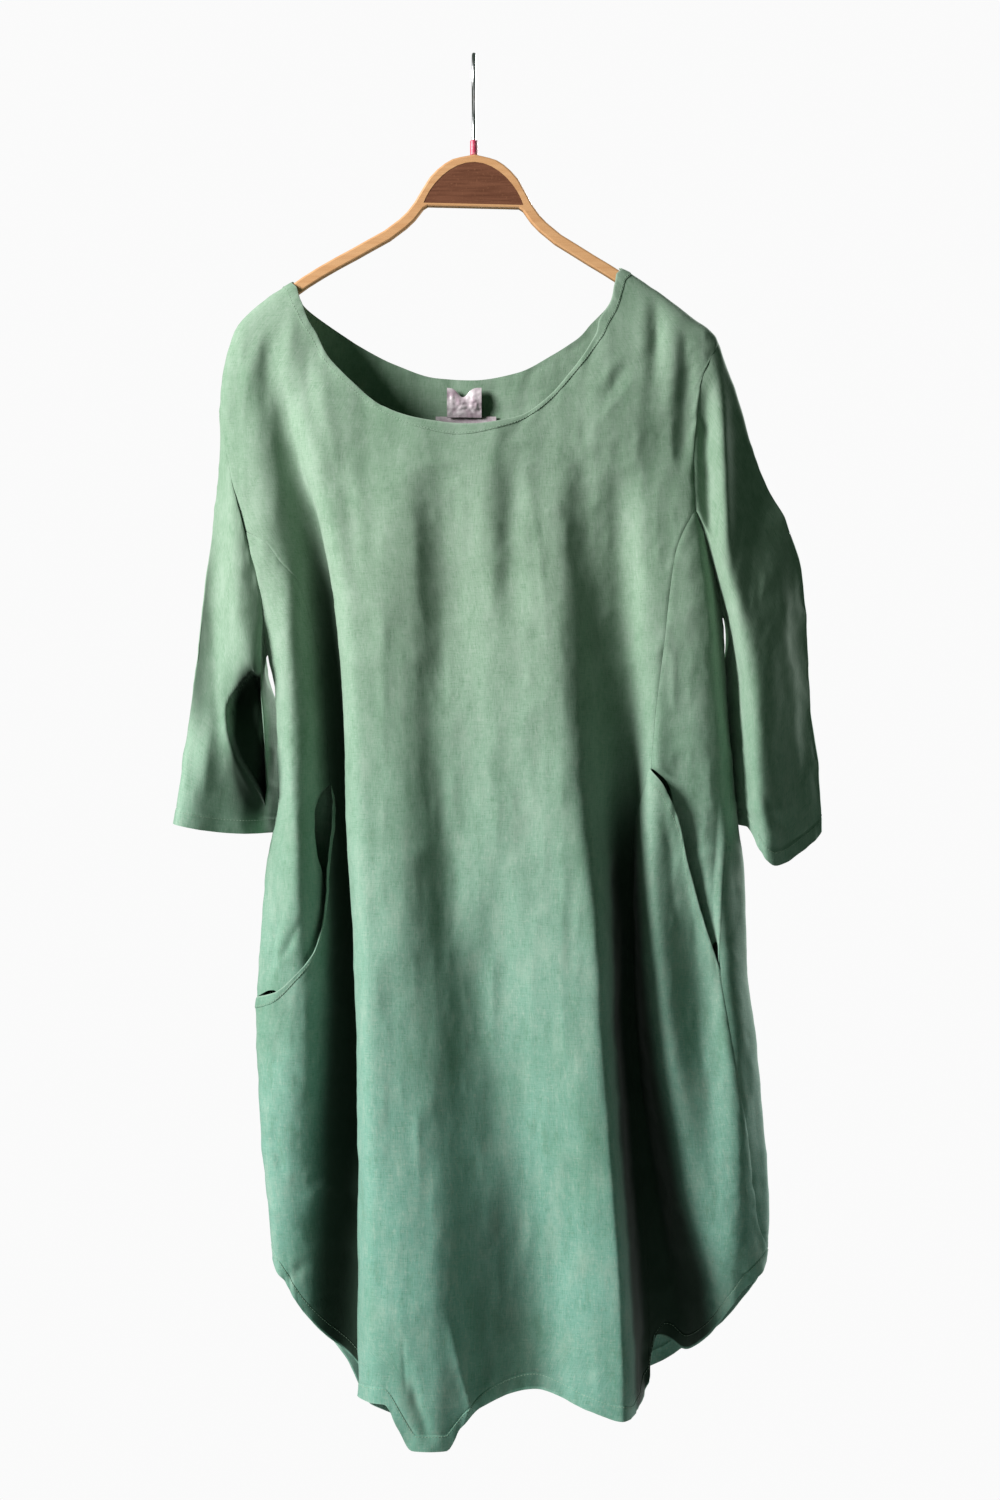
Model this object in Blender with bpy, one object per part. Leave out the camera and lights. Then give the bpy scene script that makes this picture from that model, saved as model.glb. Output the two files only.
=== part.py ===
# Linen dress hanging on a wooden hanger.
#
# The cloth is worked out as one surface round the hollow of the dress, body(place, height), and each cut
# piece is a stretch of that surface between its seams, given two sides and a rim. The sleeves are rings that
# start at the armholes. Sizes in the tables are millimetres; the origin is the inside top of the hook, +Z is
# up, the front of the dress faces -Y, and +X is to the right as the front is seen.

import math

import bmesh
import bpy
import numpy as np

MM = 0.001

# Cloth
CLOTH_THICKNESS = 2.0
BAND_THICKNESS = 1.2
SEAM_GAP = 0.3
LAY_GAP = 1.05
NECK_BAND_WIDTH = 11.0
POCKET_BAND_WIDTH = 10.0

# Pocket mouths: how far the outer layer stands out and the inner layer is tucked in behind it
MOUTH_GAPE_LEFT = 7.0
MOUTH_GAPE_RIGHT = 17.0
MOUTH_TUCK = 8.0
MOUTH_FADE = 55.0

# Segments along each seam, so that the pieces on both sides of it share its points
SHOULDER_STEPS = 5
ARMHOLE_UPPER_STEPS = 5
ARMHOLE_LOWER_STEPS = 5
ARMHOLE_BACK_STEPS = 10
PRINCESS_STEPS = 8
HIDDEN_STEPS = 5
SKIRT_STEPS = 13
POCKET_STEPS = 10
FRONT_STEPS = 28
BACK_STEPS = 28
SLEEVE_STEPS = 13

# How much closer together the columns of a piece lie beside its seams
FRONT_CROWDING = 0.45
POCKET_CROWDING = 0.25
BACK_CROWDING = 0.15
# How often a piece's inner points are moved to where its rows and columns run evenly, and how much of the way
EVENING_ROUNDS = 240
EVENING_SHARE = 0.7
# How much of a panel's first row a laid band may cover, and how far up its seam a hidden corner stops
BAND_SHARE = 0.95
CORNER_SHARE = 0.06
# About how far one step of place is round the body
PLACE_LENGTH = 330.0
# A seam's rim is split into triangles from the end that lies further this way
SPLIT_WAY = np.array([0.35, 0.6, 1.0])

# Hanger and hook
BAR_DEPTH = 12.0
BAR_TILT = math.radians(1.35)
PLATE_THICKNESS = 1.4
PLATE_RECESS = 2.0
CUTTER_DEPTH = 7.0
WIRE_RADIUS = 2.0
HOOK_RADIUS = 22.0
HOOK_FOOT = -93.0
COLLAR_RADIUS = 2.9
COLLAR_HEIGHT = 14.0

LINEN = (0.12, 0.27, 0.175)
LINEN_DEEP = (0.09, 0.25, 0.16)
SATIN = (0.62, 0.52, 0.56)
BEECH = (0.72, 0.36, 0.17)
PLATE_BROWN = (0.20, 0.075, 0.035)
CHROME = (0.72, 0.72, 0.74)
COLLAR_PINK = (0.75, 0.12, 0.22)

FRONT = -1
BACK = 1
EDGE = 999.0

# The body all round: its side edges, how far its front and back stand from the middle, and how round it is
BODY_RINGS = (
    # height, left, right, front, back, roundness
    (-195.0, -136.0, 128.0, 13.0, 13.0, 0.50),
    (-200.0, -145.0, 137.0, 14.0, 14.0, 0.50),
    (-214.0, -171.0, 160.0, 16.0, 15.0, 0.50),
    (-230.0, -197.0, 183.0, 18.0, 17.0, 0.52),
    (-250.0, -217.5, 208.0, 21.0, 19.0, 0.54),
    (-267.0, -228.0, 231.0, 24.0, 21.0, 0.56),
    (-288.0, -236.0, 236.5, 28.0, 23.0, 0.60),
    (-335.0, -241.0, 235.0, 37.0, 28.0, 0.65),
    (-392.0, -240.0, 232.0, 43.0, 32.0, 0.72),
    (-449.0, -230.0, 232.5, 47.0, 35.0, 0.76),
    (-525.0, -208.0, 237.0, 50.0, 38.0, 0.80),
    (-610.0, -189.0, 241.0, 53.0, 42.0, 0.80),
    (-700.0, -186.0, 247.0, 57.0, 46.0, 0.80),
    (-762.0, -197.0, 255.0, 61.0, 49.0, 0.80),
    (-850.0, -203.0, 257.5, 66.0, 54.0, 0.80),
    (-943.0, -206.0, 268.0, 71.0, 58.0, 0.80),
    (-1038.0, -200.5, 276.0, 76.0, 61.0, 0.80),
    (-1104.0, -194.0, 279.0, 79.0, 64.0, 0.80),
    (-1180.0, -185.0, 271.0, 80.0, 66.0, 0.80),
    (-1315.0, -172.0, 258.0, 80.0, 66.0, 0.80),
)

# Seams and edges, from the top down or from the middle out
SEAMS = {
    # name: (x, height, side of the body), EDGE beyond the side means on its edge
    "shoulder_left": ((-EDGE, -214.0, FRONT), (-EDGE, -267.0, FRONT), (-EDGE, -335.0, FRONT)),
    "shoulder_right": ((EDGE, -200.5, FRONT), (EDGE, -235.0, FRONT), (EDGE, -268.0, FRONT)),
    "armhole_upper_left": (
        (-EDGE, -335.0, FRONT),
        (-238.0, -361.0, FRONT),
        (-229.0, -403.0, FRONT),
        (-217.0, -451.0, FRONT),
    ),
    "armhole_lower_left": (
        (-217.0, -451.0, FRONT),
        (-207.0, -488.0, FRONT),
        (-199.5, -526.0, FRONT),
        (-EDGE, -566.0, FRONT),
    ),
    "armhole_back_left": (
        (-EDGE, -335.0, BACK),
        (-228.0, -385.0, BACK),
        (-212.0, -440.0, BACK),
        (-200.0, -500.0, BACK),
        (-195.0, -540.0, BACK),
        (-EDGE, -566.0, BACK),
    ),
    "armhole_upper_right": (
        (EDGE, -268.0, FRONT),
        (226.0, -284.0, FRONT),
        (213.0, -318.0, FRONT),
        (206.5, -391.0, FRONT),
        (208.5, -431.0, FRONT),
    ),
    "armhole_lower_right": (
        (208.5, -431.0, FRONT),
        (217.0, -455.0, FRONT),
        (225.0, -480.0, FRONT),
        (233.0, -510.0, FRONT),
        (236.0, -530.0, FRONT),
    ),
    "armhole_back_right": (
        (EDGE, -268.0, BACK),
        (222.0, -305.0, BACK),
        (211.0, -360.0, BACK),
        (210.0, -420.0, BACK),
        (222.0, -480.0, BACK),
        (234.0, -520.0, BACK),
        (236.0, -530.0, FRONT),
    ),
    "princess_left": (
        (-217.0, -451.0, FRONT),
        (-197.0, -461.0, FRONT),
        (-184.0, -479.0, FRONT),
        (-166.0, -500.0, FRONT),
        (-149.0, -555.0, FRONT),
        (-140.0, -630.0, FRONT),
        (-137.0, -691.0, FRONT),
    ),
    "princess_right": (
        (208.5, -431.0, FRONT),
        (197.0, -452.0, FRONT),
        (190.0, -470.0, FRONT),
        (185.0, -500.0, FRONT),
        (181.0, -534.0, FRONT),
        (175.0, -602.0, FRONT),
        (170.0, -675.0, FRONT),
    ),
    "skirt_left": (
        (-137.0, -691.0, FRONT),
        (-126.0, -733.0, FRONT),
        (-116.0, -777.0, FRONT),
        (-110.0, -878.0, FRONT),
        (-104.5, -985.0, FRONT),
        (-105.0, -1128.0, FRONT),
        (-100.0, -1252.0, FRONT),
    ),
    "skirt_right": (
        (170.0, -675.0, FRONT),
        (162.0, -702.0, FRONT),
        (152.0, -740.0, FRONT),
        (146.0, -800.0, FRONT),
        (148.0, -890.0, FRONT),
        (153.0, -985.0, FRONT),
        (161.0, -1083.0, FRONT),
        (166.0, -1160.0, FRONT),
        (168.0, -1262.0, FRONT),
    ),
    "side_upper_left": ((-EDGE, -566.0, FRONT), (-EDGE, -730.0, FRONT), (-EDGE, -893.0, FRONT)),
    "side_lower_left": ((-EDGE, -893.0, FRONT), (-EDGE, -1010.0, FRONT), (-EDGE, -1140.0, FRONT)),
    "side_upper_right": (
        (236.0, -530.0, FRONT),
        (240.0, -600.0, FRONT),
        (243.0, -677.0, FRONT),
        (238.0, -763.0, FRONT),
        (234.5, -862.0, FRONT),
    ),
    "side_lower_right": (
        (234.5, -862.0, FRONT),
        (246.0, -932.0, FRONT),
        (262.0, -1020.0, FRONT),
        (272.0, -1100.0, FRONT),
        (EDGE, -1140.0, FRONT),
    ),
    "hidden_edge_left": (
        (-137.0, -691.0, FRONT),
        (-147.0, -712.0, FRONT),
        (-146.0, -745.0, FRONT),
        (-135.0, -795.0, FRONT),
        (-128.0, -850.0, FRONT),
        (-128.0, -905.0, FRONT),
    ),
    "hidden_edge_right": (
        (170.0, -675.0, FRONT),
        (186.0, -690.0, FRONT),
        (191.0, -712.0, FRONT),
        (187.0, -750.0, FRONT),
        (184.0, -810.0, FRONT),
        (188.0, -880.0, FRONT),
    ),
    "hidden_hem_left": (
        (-128.0, -905.0, FRONT),
        (-150.0, -914.0, FRONT),
        (-172.0, -903.0, FRONT),
        (-190.0, -884.0, FRONT),
        (-EDGE, -893.0, FRONT),
    ),
    "hidden_hem_right": (
        (188.0, -880.0, FRONT),
        (204.0, -872.0, FRONT),
        (219.0, -850.0, FRONT),
        (230.5, -838.0, FRONT),
        (234.5, -862.0, FRONT),
    ),
    "mouth_left": (
        (-137.0, -691.0, FRONT),
        (-139.0, -752.0, FRONT),
        (-142.0, -805.0, FRONT),
        (-150.0, -843.0, FRONT),
        (-168.0, -870.0, FRONT),
        (-186.0, -886.0, FRONT),
        (-EDGE, -893.0, FRONT),
    ),
    "mouth_right": (
        (170.0, -675.0, FRONT),
        (182.0, -694.0, FRONT),
        (197.0, -727.0, FRONT),
        (210.0, -766.0, FRONT),
        (223.0, -817.0, FRONT),
        (234.5, -862.0, FRONT),
    ),
    "neck_front": (
        (-EDGE, -214.0, FRONT),
        (-152.0, -259.0, FRONT),
        (-135.0, -289.0, FRONT),
        (-111.0, -314.0, FRONT),
        (-85.0, -335.0, FRONT),
        (-51.0, -347.0, FRONT),
        (-4.0, -352.0, FRONT),
        (41.0, -345.0, FRONT),
        (70.0, -326.0, FRONT),
        (95.0, -297.0, FRONT),
        (116.0, -263.0, FRONT),
        (129.0, -234.0, FRONT),
        (EDGE, -200.5, FRONT),
    ),
    "neck_back": (
        (EDGE, -200.5, BACK),
        (129.0, -233.0, BACK),
        (101.0, -263.0, BACK),
        (75.0, -280.0, BACK),
        (41.0, -297.0, BACK),
        (-2.0, -304.0, BACK),
        (-36.0, -302.0, BACK),
        (-74.0, -290.0, BACK),
        (-108.0, -273.0, BACK),
        (-143.0, -250.0, BACK),
        (-EDGE, -214.0, BACK),
    ),
    "hem_front": (
        (-100.0, -1252.0, FRONT),
        (-94.0, -1262.0, FRONT),
        (-65.0, -1262.0, FRONT),
        (-54.0, -1284.0, FRONT),
        (-43.0, -1304.0, FRONT),
        (-19.0, -1305.0, FRONT),
        (-8.0, -1285.0, FRONT),
        (10.0, -1267.0, FRONT),
        (57.0, -1254.0, FRONT),
        (107.0, -1270.0, FRONT),
        (138.0, -1279.0, FRONT),
        (158.0, -1276.0, FRONT),
        (168.0, -1262.0, FRONT),
    ),
    "hem_side_left": (
        (-100.0, -1252.0, FRONT),
        (-121.0, -1230.0, FRONT),
        (-145.0, -1209.0, FRONT),
        (-163.0, -1186.0, FRONT),
        (-178.0, -1161.0, FRONT),
        (-EDGE, -1140.0, FRONT),
    ),
    "hem_side_right": (
        (168.0, -1262.0, FRONT),
        (174.0, -1217.0, FRONT),
        (190.0, -1222.0, FRONT),
        (213.0, -1231.0, FRONT),
        (232.0, -1220.0, FRONT),
        (250.0, -1194.0, FRONT),
        (264.0, -1165.0, FRONT),
        (EDGE, -1140.0, FRONT),
    ),
    "hem_back": (
        (EDGE, -1140.0, FRONT),
        (262.0, -1176.0, BACK),
        (232.0, -1214.0, BACK),
        (190.0, -1240.0, BACK),
        (140.0, -1262.0, BACK),
        (70.0, -1268.0, BACK),
        (0.0, -1270.0, BACK),
        (-35.0, -1288.0, BACK),
        (-60.0, -1304.0, BACK),
        (-98.0, -1284.0, BACK),
        (-122.0, -1240.0, BACK),
        (-150.0, -1205.0, BACK),
        (-176.0, -1164.0, BACK),
        (-EDGE, -1140.0, BACK),
    ),
}

# The two deep valleys beside the centre front, where the full side skirts swing in behind it
VALLEY_LEFT = (
    # height, x, depth, reach to the left, reach to the right
    (-270.0, -195.0, 0.0, 12.0, 16.0),
    (-350.0, -180.0, 9.0, 13.0, 18.0),
    (-435.0, -154.0, 20.0, 16.0, 20.0),
    (-521.0, -135.0, 32.0, 19.0, 20.0),
    (-600.0, -124.0, 38.0, 20.0, 19.0),
    (-705.0, -117.0, 44.0, 20.0, 18.0),
    (-877.0, -109.0, 52.0, 18.0, 17.0),
    (-1050.0, -104.0, 56.0, 18.0, 17.0),
    (-1180.0, -105.0, 54.0, 20.0, 18.0),
    (-1320.0, -99.0, 44.0, 24.0, 20.0),
)
VALLEY_RIGHT = (
    (-470.0, 166.0, 0.0, 40.0, 14.0),
    (-600.0, 162.0, 12.0, 40.0, 13.0),
    (-700.0, 155.0, 24.0, 34.0, 14.0),
    (-790.0, 147.0, 42.0, 24.0, 16.0),
    (-890.0, 146.0, 56.0, 18.0, 18.0),
    (-985.0, 151.0, 62.0, 16.0, 25.0),
    (-1083.0, 158.0, 66.0, 15.0, 36.0),
    (-1180.0, 166.0, 66.0, 15.0, 48.0),
    (-1320.0, 169.0, 60.0, 16.0, 56.0),
)

# Softer folds. A positive depth is a trough and a negative one a ridge. The depth grows in from the top.
SOFT_FOLDS = (
    # side, upper x, upper height, lower x, lower height, reach, depth, fade
    (FRONT, 172.0, -232.0, 172.0, -300.0, 8.0, 4.0, 25.0),
    (FRONT, 199.0, -262.0, 204.0, -350.0, 8.0, 6.0, 30.0),
    (FRONT, -15.0, -396.0, -10.0, -706.0, 14.0, 5.0, 80.0),
    (FRONT, 37.0, -370.0, 31.0, -540.0, 12.0, 6.0, 60.0),
    (FRONT, 96.0, -400.0, 110.0, -640.0, 16.0, 5.0, 80.0),
    (FRONT, -98.0, -380.0, -86.0, -560.0, 12.0, -3.0, 60.0),
    (FRONT, 4.0, -880.0, 17.0, -1400.0, 27.0, 16.0, 200.0),
    (FRONT, -62.0, -900.0, -66.0, -1400.0, 26.0, -7.0, 200.0),
    (FRONT, 84.0, -900.0, 92.0, -1400.0, 28.0, -8.0, 200.0),
    (FRONT, -172.0, -640.0, -170.0, -900.0, 13.0, -9.0, 90.0),
    (FRONT, -178.0, -790.0, -192.0, -900.0, 7.0, 7.0, 50.0),
    (FRONT, 192.0, -740.0, 225.0, -1090.0, 11.0, 6.0, 90.0),
    (BACK, -128.0, -420.0, -120.0, -1500.0, 26.0, 16.0, 260.0),
    (BACK, -30.0, -520.0, -46.0, -1500.0, 22.0, 10.0, 260.0),
    (BACK, 64.0, -380.0, 50.0, -1500.0, 28.0, 14.0, 260.0),
    (BACK, 165.0, -520.0, 178.0, -1500.0, 24.0, 20.0, 300.0),
    (BACK, -182.0, -700.0, -165.0, -1500.0, 16.0, 9.0, 200.0),
)

# Sleeves: the outer and inner lines of the tube, and how far its front and back stand from them
SLEEVE_LEFT = (
    # along, outer x, outer height, inner x, inner height, front, back
    (0.00, -241.0, -335.0, -194.5, -566.0, 20.0, 18.0),
    (0.12, -243.0, -392.0, -198.0, -590.0, 23.0, 20.0),
    (0.25, -248.0, -440.0, -199.5, -612.0, 26.0, 22.0),
    (0.38, -253.0, -482.0, -198.5, -634.0, 29.0, 24.0),
    (0.50, -258.0, -525.0, -197.5, -655.0, 31.0, 26.0),
    (0.62, -264.0, -574.0, -196.5, -676.0, 33.0, 28.0),
    (0.75, -270.0, -628.0, -195.5, -697.0, 34.0, 29.0),
    (0.88, -276.0, -680.0, -196.5, -717.0, 34.0, 30.0),
    (1.00, -282.0, -727.0, -198.0, -736.0, 33.0, 30.0),
)
SLEEVE_RIGHT = (
    (0.00, 235.0, -268.0, 237.0, -530.0, 20.0, 18.0),
    (0.12, 255.0, -335.0, 243.5, -556.0, 24.0, 21.0),
    (0.25, 275.0, -396.0, 248.0, -582.0, 27.0, 23.0),
    (0.38, 299.0, -447.0, 250.5, -606.0, 30.0, 25.0),
    (0.50, 313.0, -490.0, 252.0, -630.0, 32.0, 27.0),
    (0.62, 317.5, -550.0, 253.5, -654.0, 33.0, 28.0),
    (0.75, 320.0, -612.0, 255.0, -677.0, 34.0, 29.0),
    (0.88, 328.0, -668.0, 257.0, -700.0, 34.0, 30.0),
    (1.00, 331.0, -732.0, 260.0, -724.0, 32.0, 30.0),
)
# Where the armhole's own shape has given way to the round tube
SLEEVE_BLEND = 0.45
# Folds of the sleeves, round the tube (0 outer, 90 front, 180 inner) and along it
SLEEVE_FOLDS = {
    # angle, along, reach in degrees, reach along, depth
    "sleeve_left": ((122.0, 0.78, 20.0, 0.20, 17.0), (62.0, 0.62, 26.0, 0.5, -4.0)),
    "sleeve_right": ((140.0, 0.22, 24.0, 0.22, 12.0), (96.0, 0.45, 20.0, 0.5, -5.0)),
}
# How much lower the cuff hangs at its front than at its sides
CUFF_DROP = {
    # sleeve: (angle, reach in degrees, drop)
    "sleeve_left": (90.0, 60.0, 4.0),
    "sleeve_right": (112.0, 42.0, 42.0),
}

# Half of the hanger's upper edge, from its middle out
BAR_TOP = (
    # distance from the middle, height
    (0.0, -93.0),
    (21.0, -98.0),
    (31.5, -105.0),
    (43.0, -117.0),
    (52.0, -133.0),
    (59.0, -144.5),
    (66.5, -153.0),
    (83.5, -167.0),
    (93.0, -172.5),
    (114.0, -185.0),
    (135.0, -197.0),
    (160.5, -213.3),
    (183.0, -230.5),
    (200.0, -244.0),
    (207.0, -250.0),
)
BAR_HEIGHT = 10.5
BAR_MIDDLE_BOTTOM = -143.0
BAR_TURNS_ABOUT = -120.0
PLATE_HALF_WIDTH = 47.0
PLATE_BOTTOM = -140.0
PLATE_TOP = -100.5
PLATE_SLOPE = 0.12
PLATE_POINT = 1.25


def smooth(xs, ys, at):
    """A smooth curve through a table's points that never swings past them."""
    xs = np.asarray(xs, float)
    ys = np.asarray(ys, float)
    steps = np.diff(xs)
    slopes = np.diff(ys) / steps
    tangents = np.zeros_like(ys)
    same_way = slopes[:-1] * slopes[1:] > 0
    weighted = 3 * (steps[:-1] + steps[1:]) / np.where(
        same_way,
        (2 * steps[1:] + steps[:-1]) / np.where(same_way, slopes[:-1], 1)
        + (steps[1:] + 2 * steps[:-1]) / np.where(same_way, slopes[1:], 1),
        1,
    )
    tangents[1:-1] = np.where(same_way, weighted, 0)
    tangents[0] = slopes[0]
    tangents[-1] = slopes[-1]
    at = np.clip(at, xs[0], xs[-1])
    i = np.clip(np.searchsorted(xs, at) - 1, 0, len(steps) - 1)
    t = (at - xs[i]) / steps[i]
    rise = steps[i]
    return (
        (2 * t**3 - 3 * t**2 + 1) * ys[i]
        + (t**3 - 2 * t**2 + t) * rise * tangents[i]
        + (3 * t**2 - 2 * t**3) * ys[i + 1]
        + (t**3 - t**2) * rise * tangents[i + 1]
    )


def by_height(rows, column, height):
    """A column of a table whose rows run down by height."""
    heights = [-row[0] for row in rows]
    return smooth(heights, [row[column] for row in rows], -np.asarray(height, float))


def ramp(value):
    """From 0 to 1, level at both ends."""
    value = np.clip(value, 0, 1)
    return value * value * (3 - 2 * value)


def ring_sides(height):
    left = by_height(BODY_RINGS, 1, height)
    right = by_height(BODY_RINGS, 2, height)
    return (left + right) / 2, (right - left) / 2


def place_of(x, height, side):
    """How far round the body a point lies: 0 middle front, 1 right edge, 2 middle back, -1 or 3 left edge."""
    middle, half = ring_sides(height)
    place = np.arcsin(np.clip((x - middle) / half, -1, 1)) / (math.pi / 2)
    return place if side == FRONT else 2 - place


def valley(rows, x, height):
    """How deep the cloth swings in beside the centre front."""
    offset = x - by_height(rows, 1, height)
    reach = np.where(offset < 0, by_height(rows, 3, height), by_height(rows, 4, height))
    depth = by_height(rows, 2, height)
    depth = np.where(height > rows[0][0], 0, depth)
    return depth * np.exp(-((offset / reach) ** 2))


def soft_folds(x, height, side):
    total = np.zeros_like(x)
    for on_side, top_x, top, low_x, low, reach, depth, fade in SOFT_FOLDS:
        along = (top - height) / (top - low)
        centre = top_x + (low_x - top_x) * np.clip(along, -1, 2)
        strength = ramp((top + fade / 4 - height) / fade) * ramp((height - low + fade / 4) / fade)
        total += (side == on_side) * depth * strength * np.exp(-(((x - centre) / reach) ** 2))
    return total


def body(place, height):
    """Points of the dress, in millimetres: place runs round it and height down it."""
    place, height = np.broadcast_arrays(np.asarray(place, float), np.asarray(height, float))
    middle, half = ring_sides(height)
    angle = place * math.pi / 2
    facing = np.cos(angle)
    side = np.where(facing > 0, FRONT, BACK)
    x = middle + half * np.sin(angle)
    stands = np.where(side == FRONT, by_height(BODY_RINGS, 3, height), by_height(BODY_RINGS, 4, height))
    bow = np.abs(facing) ** by_height(BODY_RINGS, 5, height)
    inward = soft_folds(x, height, side)
    inward += (side == FRONT) * (valley(VALLEY_LEFT, x, height) + valley(VALLEY_RIGHT, x, height))
    inward *= ramp(np.abs(facing) / 0.35)
    y = side * (stands * bow - inward)
    return np.stack([x, y, height], -1)


def body_normals(place, height):
    """The way out of the dress at each point."""
    place_step, height_step = 0.012, 1.2
    across = body(place + place_step, height) - body(place - place_step, height)
    down = body(place, height - height_step) - body(place, height + height_step)
    normals = np.cross(down, across)
    return normals / np.linalg.norm(normals, axis=-1, keepdims=True)


def spaced(points, count, scale=(1.0, 1.0), crowding=0.0):
    """A smooth line through the points, as count steps of its length, shorter towards its ends if crowded."""
    points = np.asarray(points, float)
    steps = np.linalg.norm(np.diff(points * scale, axis=0), axis=1)
    along = np.concatenate([[0], np.cumsum(steps)])
    fine = np.linspace(0, along[-1], 400)
    line = np.stack([smooth(along, points[:, k], fine) for k in range(points.shape[1])], -1)
    steps = np.linalg.norm(np.diff(line * scale, axis=0), axis=1)
    length = np.concatenate([[0], np.cumsum(steps)])
    even = np.linspace(0, 1, count + 1)
    at = length[-1] * ((1 - crowding) * even + crowding * (1 - np.cos(np.pi * even)) / 2)
    return np.stack([np.interp(at, length, line[:, k]) for k in range(points.shape[1])], -1)


def seam(name, count, crowding=0.0):
    """A seam as places and heights."""
    rows = [(float(place_of(x, height, side)), height) for x, height, side in SEAMS[name]]
    return spaced(rows, count, (PLACE_LENGTH, 1.0), crowding)


def chain(*lines):
    """Seams joined end to end."""
    parts = [lines[0]]
    parts += [line[1:] for line in lines[1:]]
    return np.concatenate(parts)


def between(top, bottom, left, right):
    """A piece's places and heights, filled in smoothly between its four edges."""
    down = np.linspace(0, 1, len(left))[:, None, None]
    across = np.linspace(0, 1, len(top))[None, :, None]
    corners = (
        (1 - down) * ((1 - across) * top[0] + across * top[-1])
        + down * ((1 - across) * bottom[0] + across * bottom[-1])
    )
    grid = (
        (1 - across) * left[:, None]
        + across * right[:, None]
        + (1 - down) * top[None]
        + down * bottom[None]
        - corners
    )
    grid = grid * (PLACE_LENGTH, 1.0)
    for _ in range(EVENING_ROUNDS):
        along_row = (grid[1:-1, 2:] - grid[1:-1, :-2]) / 2
        along_column = (grid[2:, 1:-1] - grid[:-2, 1:-1]) / 2
        row_weight = np.sum(along_column**2, axis=-1, keepdims=True)
        column_weight = np.sum(along_row**2, axis=-1, keepdims=True)
        slant = np.sum(along_row * along_column, axis=-1, keepdims=True)
        twist = grid[2:, 2:] - grid[2:, :-2] - grid[:-2, 2:] + grid[:-2, :-2]
        evened = (
            row_weight * (grid[1:-1, 2:] + grid[1:-1, :-2])
            + column_weight * (grid[2:, 1:-1] + grid[:-2, 1:-1])
            - slant * twist / 2
        ) / (2 * (row_weight + column_weight))
        grid[1:-1, 1:-1] += EVENING_SHARE * (evened - grid[1:-1, 1:-1])
    return grid / (PLACE_LENGTH, 1.0)


EDGES = {"top": np.s_[0], "bottom": np.s_[-1], "left": np.s_[:, 0], "right": np.s_[:, -1]}


def surface(grid, seams, push=0.0):
    """A piece's points and the ways out of it, which along its seams are those of the whole body."""
    outwards = body_normals(grid[..., 0], grid[..., 1])
    points = body(grid[..., 0], grid[..., 1]) + outwards * np.asarray(push)[..., None]
    normals = np.cross(np.gradient(points, axis=0), np.gradient(points, axis=1))
    normals *= np.sign(np.sum(normals * outwards, axis=-1, keepdims=True))
    normals /= np.linalg.norm(normals, axis=-1, keepdims=True)
    for name in seams:
        normals[EDGES[name]] = outwards[EDGES[name]]
    return points, normals


def inset(points, amount, sides):
    """Draws a piece's edges in along its own surface, so that it stays clear of its neighbours."""
    moved = points.copy()
    for name in sides:
        if name == "top":
            edge, inner, target = points[0], points[1], moved[0]
        elif name == "bottom":
            edge, inner, target = points[-1], points[-2], moved[-1]
        elif name == "left":
            edge, inner, target = points[:, 0], points[:, 1], moved[:, 0]
        else:
            edge, inner, target = points[:, -1], points[:, -2], moved[:, -1]
        along = np.gradient(edge, axis=0)
        along /= np.linalg.norm(along, axis=-1, keepdims=True)
        inwards = inner - edge
        inwards -= np.sum(inwards * along, axis=-1, keepdims=True) * along
        inwards /= np.linalg.norm(inwards, axis=-1, keepdims=True)
        target += inwards * amount
    return moved


def material(name, colour, roughness, metallic=0.0):
    made = bpy.data.materials.new(name)
    made.use_nodes = True
    shader = made.node_tree.nodes["Principled BSDF"]
    shader.inputs["Base Color"].default_value = (*colour, 1.0)
    shader.inputs["Roughness"].default_value = roughness
    shader.inputs["Metallic"].default_value = metallic
    return made


def add_object(name, points, faces, finish, smooth_angle=40.0):
    mesh = bpy.data.meshes.new(name)
    mesh.from_pydata([tuple(p) for p in np.asarray(points) * MM], [], faces)
    solid = bmesh.new()
    solid.from_mesh(mesh)
    bmesh.ops.recalc_face_normals(solid, faces=solid.faces)
    solid.to_mesh(mesh)
    solid.free()
    mesh.shade_smooth()
    mesh.set_sharp_from_angle(angle=math.radians(smooth_angle))
    mesh.materials.append(finish)
    made = bpy.data.objects.new(name, mesh)
    bpy.context.scene.collection.objects.link(made)
    return made


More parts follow.
